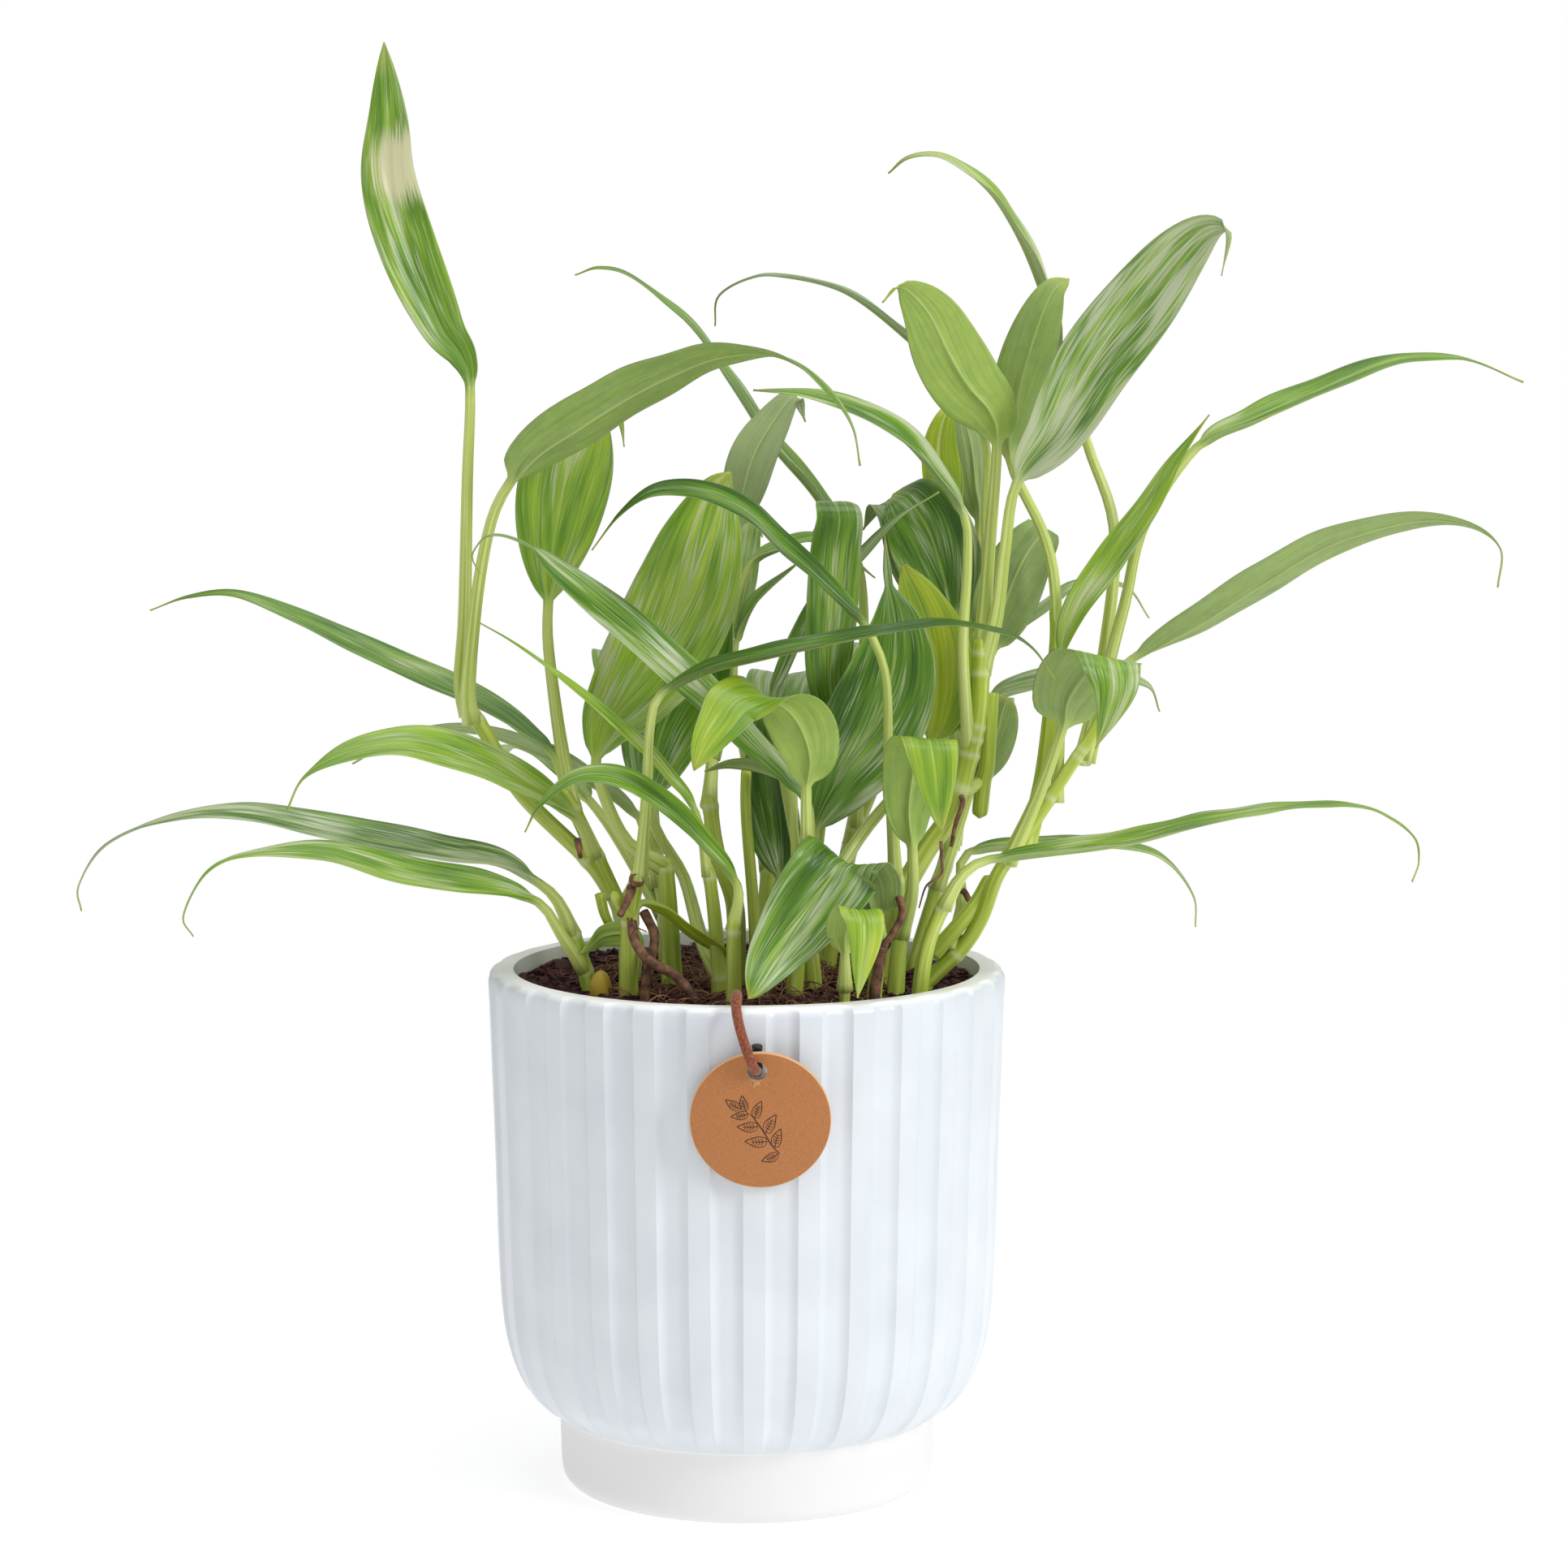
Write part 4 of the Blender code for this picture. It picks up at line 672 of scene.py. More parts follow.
# A stalk starts on its stem and goes on in the blade's rib. Edge points to the blade's left edge,
# seen from its upper side with the tip up. Tone runs from dark to yellow-green, and silver from
# plain to heavily streaked. Widest is where along the blade it is widest, a low fullness gives a
# rounder blade, and tail is the share of the rib that only a thread of leaf follows.
SHOOTS = {
    "shoot_tall_left": ([
        Stem([(-32, 0, 138), (-33, 0, 153), (-38, 0, 166), (-46, 1, 183), (-50, 2, 190)], 2.8, 1.8),
        Stem([(-36, 0, 161), (-43, 0, 171), (-61, 1, 189), (-71, 2, 206), (-76, 2, 213)], 2.2, 2),
    ], [
        Leaf([(-75, 2, 210), (-77, 3, 219), (-76, 4, 237), (-75, 4, 272)],
             [(-74, 4, 297), (-76, 6, 306), (-82, 7, 315), (-91, 9, 336), (-96, 11, 354),
              (-96, 12, 371), (-97, 14, 390)],
             16, (-1, -0.2, -0.3), 0.41, 0.4, widest=0.47, fullness=0.75),
        Leaf([(-74, 1, 208), (-75, 0, 217), (-72, -2, 244), (-68, -4, 263)],
             [(-63, -6, 273), (-56, -9, 281), (-46, -12, 288), (-33, -14, 296), (-21, -17, 302),
              (-8, -20, 307), (5, -23, 308), (14, -26, 305), (22, -28, 298), (28, -31, 289),
              (30, -34, 279)],
             21, (0, 0.6, -0.8), 0.45, 0.4, (0.5, 0.85, 0.1),
             widest=0.33, fullness=0.5, tail=0.1, fold=0.5),
        Leaf([(-47, 2, 184), (-50, 8, 199), (-52, 10, 212), (-54, 12, 229)],
             [(-54, 14, 239), (-53, 13, 251), (-50, 13, 269), (-46, 12, 283), (-41, 12, 292),
              (-37, 11, 294), (-34, 11, 289), (-33, 10, 282)],
             25, (-1, 0, 0.1), 0.59, 0.35, widest=0.58, fullness=0.8, tail=0.22, fold=0.5),
        Leaf([(-47, 2, 184)],
             [(-52, 8, 198), (-59, 11, 204), (-71, 14, 212), (-89, 17, 220), (-105, 20, 227),
              (-123, 24, 235), (-140, 27, 241), (-154, 30, 240), (-165, 33, 236)],
             12.5, (0, -0.9, -0.45), 0.31, 0.25, widest=0.33),
        Leaf([(-41, 0, 172)],
             [(-46, -4, 183), (-61, -9, 194), (-75, -15, 201), (-90, -20, 205), (-105, -25, 203),
              (-116, -31, 197), (-120, -36, 189)],
             17, (0, -0.85, -0.5), 0.56, 0.4, tail=0.06),
        Leaf([(-34, 0, 156), (-29, 6, 168)],
             [(-29, 10, 181), (-46, 15, 194), (-60, 18, 200), (-75, 21, 204), (-93, 24, 203),
              (-109, 27, 194)],
             15, (0, -0.9, 0.35), 0.5, 0.6, tail=0.1),
    ]),
    "shoot_low_left": ([
        Stem([(-42, -20, 138), (-44, -20, 148), (-47, -19, 156)], 2.4, 1.8),
    ], [
        Leaf([(-46, -19, 153), (-50, -18, 162)],
             [(-55, -18, 167), (-65, -18, 173), (-82, -17, 176), (-108, -16, 181), (-134, -16, 186),
              (-155, -16, 184), (-171, -15, 177), (-178.6, -14, 166), (-178, -14, 159)],
             14.5, (0, -0.9, -0.4), 0.29, 0.69, tail=0.18),
        Leaf([(-43, -20, 144), (-49, -23, 154)],
             [(-55, -25, 163), (-68, -29, 168), (-89, -33, 172), (-110, -36, 178), (-129, -40, 178),
              (-140, -44, 174), (-146, -48, 163), (-143, -52, 158)],
             13.5, (0, -0.9, -0.45), 0.45, 0.4, tail=0.2),
        Leaf([(-30, -16, 141)],
             [(-29, -17, 148), (-32, -17, 153), (-38, -19, 153), (-41, -22, 151), (-44, -24, 149)],
             7, (0, 0, 1), 0.72, 0, widest=0.35, fullness=0.5, fold=0.2),
    ]),
    "shoot_scarred": ([
        Stem([(-31, -28, 138), (-31, -28, 152), (-30, -29, 163), (-28, -31, 173)], 2.9, 1.9),
        Stem([(-30, -29, 158), (-33, -31, 163), (-35, -32, 167)], 1.6, 1.3),
    ], [
        Leaf([(-28, -31, 170), (-26, -34, 192), (-25, -37, 210)],
             [(-22, -40, 220), (-10, -41, 227), (5, -42, 231), (30, -44, 236), (51, -46, 239),
              (66, -48, 237), (74, -50, 233), (80, -52, 225)],
             13, (0, 1, 0.15), 0, 0),
        Leaf([(-30, -29, 158)],
             [(-28, -29, 163), (-21, -28, 161), (-15, -27, 156), (-8, -25, 151), (-3, -24, 148)],
             7, (0.3, -0.9, 0.5), 0.9, 0.1, widest=0.6, fullness=0.6),
    ]),
    "shoot_broad_left": ([
        Stem([(-20, -8, 138), (-21, -8, 159), (-22, -8, 173)], 3.2, 2.2),
    ], [
        Leaf([(-22, -8, 170), (-32, -10, 177), (-38, -12, 190)],
             [(-40, -14, 199), (-37, -13, 209), (-30, -12, 219), (-22, -10, 231), (-16, -9, 244),
              (-12, -8, 257), (-9, -6, 267), (-7, -5, 272), (-4, -4, 276)],
             29, (-0.9, 0, 0.4), 0.64, 0.45, widest=0.5, fullness=0.8),
    ]),
    "shoot_narrow": ([
        Stem([(-7, -24, 138), (-8, -24, 156), (-10, -25, 173)], 2.4, 1.6),
    ], [
        Leaf([(-10, -25, 170)],
             [(-13, -26, 187), (-20, -27, 197), (-27, -28, 205), (-44, -28, 220), (-60, -29, 232),
              (-70, -30, 238)],
             5.5, (-0.35, -0.8, -0.45), 0.6, 0.3, widest=0.25, fullness=0.6),
        Leaf([(-7, -24, 143), (-12, -16, 152), (-17, 1, 166), (-24, 2, 178)],
             [(-26, 2, 187), (-23, 4, 205), (-15, 6, 223), (-10, 8, 241), (-8, 10, 258)],
             24, (-1, 0, 0.2), 0.35, 0.5),
    ]),
    "shoot_front_fold": ([
        Stem([(13, -26, 138), (14, -28, 152), (15, -31, 166)], 2.6, 1.8),
    ], [
        Leaf([(15, -31, 163), (16, -34, 180)],
             [(16, -34, 195), (17, -37, 203), (15, -40, 211), (11, -43, 217), (5, -46, 220),
              (-2, -49, 219), (-6, -52, 214), (-10, -55, 208), (-13, -58, 202)],
             19, (0.95, 0.1, 0.1), 0.66, 0.2, (0.6, -0.5, -0.5),
             widest=0.4, fullness=0.5, fold=0.15),
        Leaf([(14, -28, 152), (15, -27, 160)],
             [(17, -27, 187), (11, -27, 196), (5, -26, 202), (-1, -26, 208), (-8, -26, 216),
              (-18, -25, 225), (-29, -25, 235), (-39, -24, 243), (-49, -24, 251), (-56, -24, 257),
              (-63, -23, 260), (-68, -23, 260), (-71, -23, 257), (-72, -22, 254), (-70, -22, 250)],
             13, (-0.4, -0.7, -0.55), 0.37, 0.5, widest=0.58, fullness=0.75, tail=0.2),
        Leaf([(14, -27, 165), (13, -22, 182)],
             [(12, -20, 194), (5, -19, 198), (-4, -18, 199), (-11, -17, 197)],
             9, (0, -0.8, 0.5), 0.3, 0.5),
    ]),
    "shoot_front_arch": ([
        Stem([(-3, -40, 138), (-3, -41, 153), (-3, -42, 162)], 2.4, 1.7),
    ], [
        Leaf([(-3, -41, 158)],
             [(-2, -42, 170), (-10, -43, 181), (-21, -45, 192), (-33, -46, 199), (-44, -47, 199),
              (-53, -49, 192), (-57, -50, 185)],
             12, (0, -0.85, -0.45), 0.37, 0.25),
    ]),
    "shoot_centre": ([
        Stem([(-3, -10, 138), (-3, -12, 160), (-8, -12, 175), (-10, -10, 190)], 3, 2),
        Stem([(3, -14, 138), (2, -14, 160), (0, -14, 185), (0, -12, 198)], 1.7, 1.4),
    ], [
        Leaf([(-10, -10, 187), (-9, 8, 202), (-8, 16, 225), (-5, 19, 245)],
             [(-3, 21, 259), (1, 22, 277), (7, 25, 288), (13, 28, 295), (16, 30, 288)],
             13, (0.85, 0, -0.5), 0.35, 0.7),
        Leaf([(-9, 6, 200), (-6, 13, 218), (-4, 14, 236)],
             [(1, 15, 250), (9, 17, 255), (18, 18, 257), (26, 19, 253), (35, 19, 246)],
             9, (0, 1, 0.3), 0.5, 0.4),
        Leaf([(-9, 4, 198), (-4, 10, 214)],
             [(-3, 13, 229), (2, 17, 240), (14, 22, 250)],
             8, (0, 1, 0.4), 0.5, 0.4),
    ]),
    "shoot_long_arch": ([
        Stem([(40, -22, 138), (41, -19, 155), (40, -18, 171)], 2.6, 1.8),
    ], [
        Leaf([(40, -18, 168), (38, -21, 200), (37, -24, 223)],
             [(32, -24, 236), (27, -25, 242), (18, -26, 251), (10, -27, 258), (2, -28, 266),
              (-7, -30, 271), (-16, -31, 273), (-25, -32, 272), (-33, -33, 266), (-40, -34, 257)],
             11.5, (0, -0.8, -0.5), 0.1, 0.15, widest=0.42, tail=0.08),
        Leaf([(41, -19, 153), (44, -25, 165)],
             [(44, -29, 178), (43, -30, 188), (44, -31, 198), (45, -34, 205), (47, -39, 208),
              (48, -45, 208), (49, -48, 203), (50, -49, 193), (51, -49, 185)],
             16.5, (1, 0, -0.05), 0.58, 0.15, widest=0.42, fullness=0.6, fold=0.1),
    ]),
    "shoot_broad_front": ([
        Stem([(18, -12, 138), (17, -12, 150), (17, -13, 163)], 2.8, 2),
    ], [
        Leaf([(17, -13, 160)],
             [(18, -14, 180), (25, -12, 195), (34, -11, 209), (39, -9, 222), (40, -7, 235),
              (38, -6, 247), (37, -4, 260)],
             27, (-0.9, 0, 0.35), 0.25, 0.4, widest=0.47, fullness=0.78, tail=0.16, fold=0.7),
        Leaf([(17, -12, 157), (31, 4, 177), (45, 3, 194)],
             [(50, 2, 203), (52, 2, 215), (51, 3, 228), (47, 4, 240), (42, 4, 251)],
             19, (-1, 0, 0), 0.9, 0.1, widest=0.42, fullness=0.6),
        Leaf([(17, -11, 160), (21, -3, 189)],
             [(24, 0, 204), (22, -1, 222), (23, -3, 239), (24, -4, 255), (25, -4, 263),
              (24, 0, 267), (23, 7, 267), (20, 9, 263), (18, 8, 259)],
             14, (-1, 0, 0), 0.35, 0.35, widest=0.55, fullness=0.42, tail=0.1, fold=0.25),
        Leaf([(17, -10, 158), (10, 4, 192)],
             [(7, 8, 212), (10, 8, 222), (18, 8, 238), (31, 9, 253), (41, 9, 263), (52, 9, 270)],
             10, (-0.3, 0.9, 0.25), 0.35, 0.6, tail=0.05),
    ]),
    "shoot_tag_leaf": ([
        Stem([(34, -34, 138), (35, -33, 149), (35, -33, 156)], 2.3, 1.7),
    ], [
        Leaf([(35, -33, 153)],
             [(35, -29, 159), (33, -33, 165), (30, -37, 172), (26, -41, 176), (22, -45, 172),
              (15, -48, 163), (8, -52, 154), (4, -56, 148), (2, -60, 145), (1, -64, 144)],
             23.5, (0.96, 0, -0.25), 0.32, 0.44, (0.8, -0.1, -0.6),
             widest=0.36, fullness=0.5, fold=0.15),
    ]),
    "shoot_small_front": ([
        Stem([(26, -46, 138), (26, -46, 146)], 1.6, 1.3),
    ], [
        Leaf([(26, -46, 143)],
             [(26, -48, 153), (26, -50, 158), (27, -52, 162), (29, -54, 165), (30, -56, 165),
              (31, -59, 163), (31, -61, 158), (30, -63, 151), (29, -65, 144)],
             11.5, (1, 0, -0.05), 0.7, 0.35, widest=0.3, fullness=0.42, fold=0.1),
    ]),
    "shoot_big": ([
        Stem([(36, -6, 138), (38, -7, 152), (42, -7, 163), (48, -7, 174), (56, -7, 187),
              (62, -6, 211), (63, -5, 232)], 3.3, 2.3),
        Stem([(66, 4, 216), (65, 2, 197), (64, 2, 192), (63, 2, 182)], 2.2, 2.2),
    ], [
        Leaf([(63, -4, 228), (65, -2, 254)],
             [(67, -2, 283), (65, -4, 292), (59, -6, 299), (54, -8, 307), (49, -10, 317),
              (44, -12, 323), (40, -14, 325), (36, -16, 321)],
             19.5, (0.88, 0, 0.45), 0.62, 0.15, widest=0.45, fullness=0.55, tail=0.1, fold=0.35),
        Leaf([(63, -5, 222), (67, -7, 238), (69, -8, 255)],
             [(72, -8, 273), (82, -11, 287), (92, -13, 305), (104, -16, 321), (114, -19, 334),
              (121, -22, 340), (126, -24, 339), (124, -27, 328)],
             20.5, (-0.76, 0, 0.63), 0.47, 0.7, widest=0.5, fullness=0.58, tail=0.12),
        Leaf([(60, -6, 200), (58, -11, 229), (59, -11, 251)],
             [(58, -12, 265), (50, -12, 278), (41, -12, 287), (30, -12, 293), (17, -13, 297),
              (2, -14, 298)],
             14, (0, -0.9, -0.4), 0.4, 0.5),
        Leaf([(61, -5, 204), (64, 7, 219)],
             [(66, 10, 227), (70, 12, 240), (75, 15, 251), (80, 17, 258), (81, 20, 259),
              (79, 22, 251)],
             18, (0.85, 0, -0.5), 0.22, 0.44, fullness=0.55),
        Leaf([(58, -7, 190), (63, 2, 192)],
             [(63, 7, 192), (66, 8, 199), (69, 10, 209), (71, 11, 214)],
             13, (0.9, 0.3, -0.3), 0.3, 0.4, widest=0.5, fullness=0.45),
        Leaf([(58, -7, 192), (57, 8, 215)],
             [(56, 16, 235), (53, 18, 249), (49, 20, 260), (44, 24, 267), (40, 30, 268)],
             24, (-0.85, 0, -0.5), 0.25, 0.4, widest=0.48, fullness=0.5),
        Leaf([(60, -5, 200), (54, 18, 218)],
             [(49, 26, 237), (45, 27, 251), (41, 29, 262), (36, 33, 265), (32, 37, 258)],
             13, (-1, 0, -0.2), 0.35, 0.7),
        Leaf([(62, -6, 208), (65, 10, 235), (65, 18, 262)],
             [(65, 20, 284), (57, 23, 299), (44, 27, 312), (27, 30, 324), (9, 34, 328),
              (0, 37, 327), (-8, 41, 322), (-9, 44, 314)],
             12, (0, -1, -0.05), 0.3, 0.5),
    ]),
    "shoot_right": ([
        Stem([(48, -13, 137), (50, -13, 141), (58, -13, 149), (63, -13, 157), (67, -13, 168),
              (72, -13, 176), (79, -13, 186), (86, -13, 197), (92, -13, 206),
              (97, -12, 216)], 2.3, 1.5),
        Stem([(75, -12, 175), (80, -5, 196), (83, -2, 228), (83, 1, 240)], 2.6, 1.6),
    ], [
        Leaf([(75, -12, 175), (80, -5, 196), (83, -2, 228), (83, 2, 245), (80, 5, 259)],
             [(71, 8, 279), (73, 10, 295), (77, 11, 310), (82, 12, 323), (87, 14, 327)],
             15, (0.93, 0, -0.35), 0.45, 0.4, widest=0.45, fullness=0.55),
        Leaf([(90, -11, 199), (97, 7, 227), (100, 15, 259), (93, 21, 282)],
             [(86, 23, 306), (84, 26, 318), (78, 30, 334), (71, 33, 346), (65, 36, 353),
              (57, 40, 359), (51, 43, 361), (44, 47, 360), (39, 50, 356)],
             16.5, (0, -0.95, -0.25), 0.75, 0.6),
        Leaf([(91, -11, 201), (98, 0, 226), (102, 2, 241), (107, 4, 261)],
             [(121, 6, 282), (136, 9, 290), (153, 13, 297), (171, 16, 304), (183, 19, 306),
              (197, 23, 305), (212, 26, 299)],
             14.5, (0, 0.95, 0.3), 0.39, 0.2, tail=0.12),
        Leaf([(83, -12, 188), (84, -10, 211)],
             [(84, -9, 226), (88, -7, 239), (97, -4, 252), (107, -2, 266), (115, 0, 279),
              (124, 2, 291)],
             10, (-0.5, 0.6, 0.5), 0.57, 0.4),
        Leaf([(91, -12, 199), (97, -9, 218)],
             [(103, -8, 226), (121, -11, 237), (138, -14, 248), (155, -17, 258), (176, -21, 264),
              (190, -24, 263), (198, -27, 257), (197, -30, 247)],
             12.5, (0.5, 0.55, -0.58), 0.42, 0.52, tail=0.06),
        Leaf([(70, -13, 172), (78, -17, 191)],
             [(84, -20, 209), (85, -22, 216), (88, -24, 222), (92, -28, 227), (94, -34, 229),
              (95, -40, 228), (96, -43, 222), (94, -44, 214), (91, -44, 206)],
             23, (1, 0, -0.05), 0.5, 0.5, (0.9, 0, -0.35), widest=0.3, fullness=0.52, fold=0.1),
        Leaf([(55, -13, 148), (58, -6, 160)],
             [(60, 0, 173), (85, 5, 175), (106, 10, 173), (116, 14, 168), (123, 19, 158),
              (124, 24, 149)],
             12, (0, 1, 0.1), 0.5, 0.5, tail=0.06),
    ]),
    "shoot_low_right": ([
        Stem([(46, -33, 138), (48, -34, 153), (53, -35, 166)], 2.5, 1.8),
    ], [
        Leaf([(52, -35, 163), (57, -36, 172)],
             [(64, -36, 176), (80, -38, 179), (101, -39, 182), (120, -41, 187), (144, -42, 191),
              (160, -44, 191), (168, -45, 188), (174, -47, 183), (175, -48, 177), (173, -50, 172)],
             13, (0, 1, 0.15), 0.44, 0.4, tail=0.12),
    ]),
    "shoot_back_left": ([
        Stem([(-22, 22, 138), (-23, 24, 155), (-26, 28, 172)], 2.8, 1.9),
    ], [
        Leaf([(-26, 28, 169)],
             [(-27, 31, 191), (-32, 42, 212), (-36, 60, 222), (-36, 80, 214), (-34, 92, 198)],
             18, (-1, 0, 0), 0.4, 0.5),
        Leaf([(-24, 25, 160), (-28, 28, 176), (-27, 31, 190)],
             [(-24, 33, 200), (-22, 38, 216), (-19, 46, 228), (-15, 54, 232), (-12, 64, 224)],
             18, (-1, 0, 0), 0.45, 0.4),
        Leaf([(-23, 24, 152), (-36, 34, 172)],
             [(-44, 40, 182), (-56, 52, 193), (-66, 66, 195), (-72, 80, 190), (-73, 88, 184)],
             15, (-0.55, -0.8, 0), 0.5, 0.4),
    ]),
    "shoot_back_mid": ([
        Stem([(4, 14, 138), (5, 18, 155), (6, 22, 170)], 2.8, 1.9),
    ], [
        Leaf([(5, 18, 148), (6, 15, 153)],
             [(9, 12, 164), (7, 13, 180), (4, 13, 198), (3, 14, 211)],
             15, (-1, 0, 0), 0.15, 0.25),
        Leaf([(6, 22, 167)],
             [(6, 26, 187), (8, 38, 206), (10, 56, 216), (12, 76, 212), (13, 92, 198),
              (13, 98, 188)],
             20, (-1, 0, 0), 0.4, 0.5),
        Leaf([(6, 21, 165), (-1, 26, 200)],
             [(-6, 29, 226), (-6, 35, 245), (-4, 45, 258), (0, 57, 262), (4, 69, 254)],
             18, (-1, 0, 0), 0.5, 0.4),
    ]),
    "shoot_back_centre": ([
        Stem([(22, 18, 138), (26, 19, 160), (30, 20, 180)], 2.8, 1.9),
    ], [
        Leaf([(30, 20, 177), (32, 25, 215)],
             [(31, 29, 248), (21, 33, 267), (8, 37, 282), (-4, 41, 299), (-15, 44, 314),
              (-31, 47, 327), (-41, 50, 330), (-48, 53, 328)],
             15, (0, -1, -0.2), 0.38, 0.32),
        Leaf([(25, 19, 158), (30, 28, 182)],
             [(32, 33, 197), (36, 44, 216), (39, 60, 224), (41, 78, 216), (42, 90, 200)],
             20, (-1, 0, 0), 0.4, 0.5),
        Leaf([(28, 20, 172), (42, 26, 205), (49, 28, 228)],
             [(54, 28, 257), (54, 30, 270), (53, 32, 281), (55, 36, 290), (59, 42, 295)],
             11, (-1, 0, 0), 0.85, 0.05),
    ]),
    "shoot_back_right": ([
        Stem([(46, 14, 138), (48, 15, 146), (52, 19, 159), (57, 23, 174)], 2.8, 1.9),
    ], [
        Leaf([(54, 21, 166), (62, 22, 204)],
             [(68, 26, 226), (83, 30, 238), (92, 35, 243), (105, 40, 242), (112, 44, 233)],
             10, (0, 1, 0.2), 0.45, 0.5),
        Leaf([(52, 19, 160), (62, 24, 190)],
             [(67, 28, 211), (83, 32, 217), (98, 35, 218), (111, 38, 215), (115, 42, 207)],
             16, (0, 1, 0.25), 0.45, 0.6),
        Leaf([(56, 22, 171)],
             [(58, 30, 187), (63, 42, 203), (67, 58, 209), (70, 74, 200), (71, 84, 186)],
             18, (-0.95, 0.3, 0), 0.4, 0.5),
        Leaf([(57, 23, 172), (62, 30, 200), (62, 35, 225)],
             [(64, 36, 260), (63, 36, 270), (62, 38, 280), (60, 42, 288), (58, 48, 293)],
             11, (1, 0, 0), 0.45, 0.7),
    ]),
}


def blade_width(leaf, t):
    """Share of the leaf's full width at t of its length: lance-shaped, with a drawn-out tip."""
    rise, widest = leaf.fullness, leaf.widest
    fall = rise * (1 - widest) / widest
    most = widest ** rise * (1 - widest) ** fall
    lance = min(1.0, t / (1 - leaf.tail))
    thread = THREAD_SHARE * min(1.0, (1 - t) / 0.12) * fade(t, 0.4, 0.7) if leaf.tail else 0.0
    return max(lance ** rise * (1 - lance) ** fall / most, thread)


def fade(value, start, end):
    """0 at start, 1 at end, smooth between."""
    share = min(1.0, max(0.0, (value - start) / (end - start)))
    return share * share * (3 - 2 * share)


def bump(value, middle, width):
    return math.exp(-((value - middle) / width) ** 2)


def leaf_frames(leaf, line, stalk_rows):
    """Ahead, left edge and upper side at each row: set on the blade, and carried back down the stalk."""
    edge_first = Vector(leaf.edge)
    edge_last = Vector(leaf.edge_tip or leaf.edge)
    last = len(line) - 1
    frames = [None] * len(line)
    edge = edge_first
    for i in list(range(stalk_rows, last + 1)) + list(range(stalk_rows - 1, -1, -1)):
        ahead = (line[min(i + 1, last)] - line[max(i - 1, 0)]).normalized()
        if i >= stalk_rows:
            edge = edge_first.lerp(edge_last, (i - stalk_rows) / (last - stalk_rows))
        elif i == stalk_rows - 1:
            edge = frames[stalk_rows][1]
        edge = (edge - ahead * edge.dot(ahead)).normalized()
        frames[i] = (ahead, edge, ahead.cross(edge))
    return frames


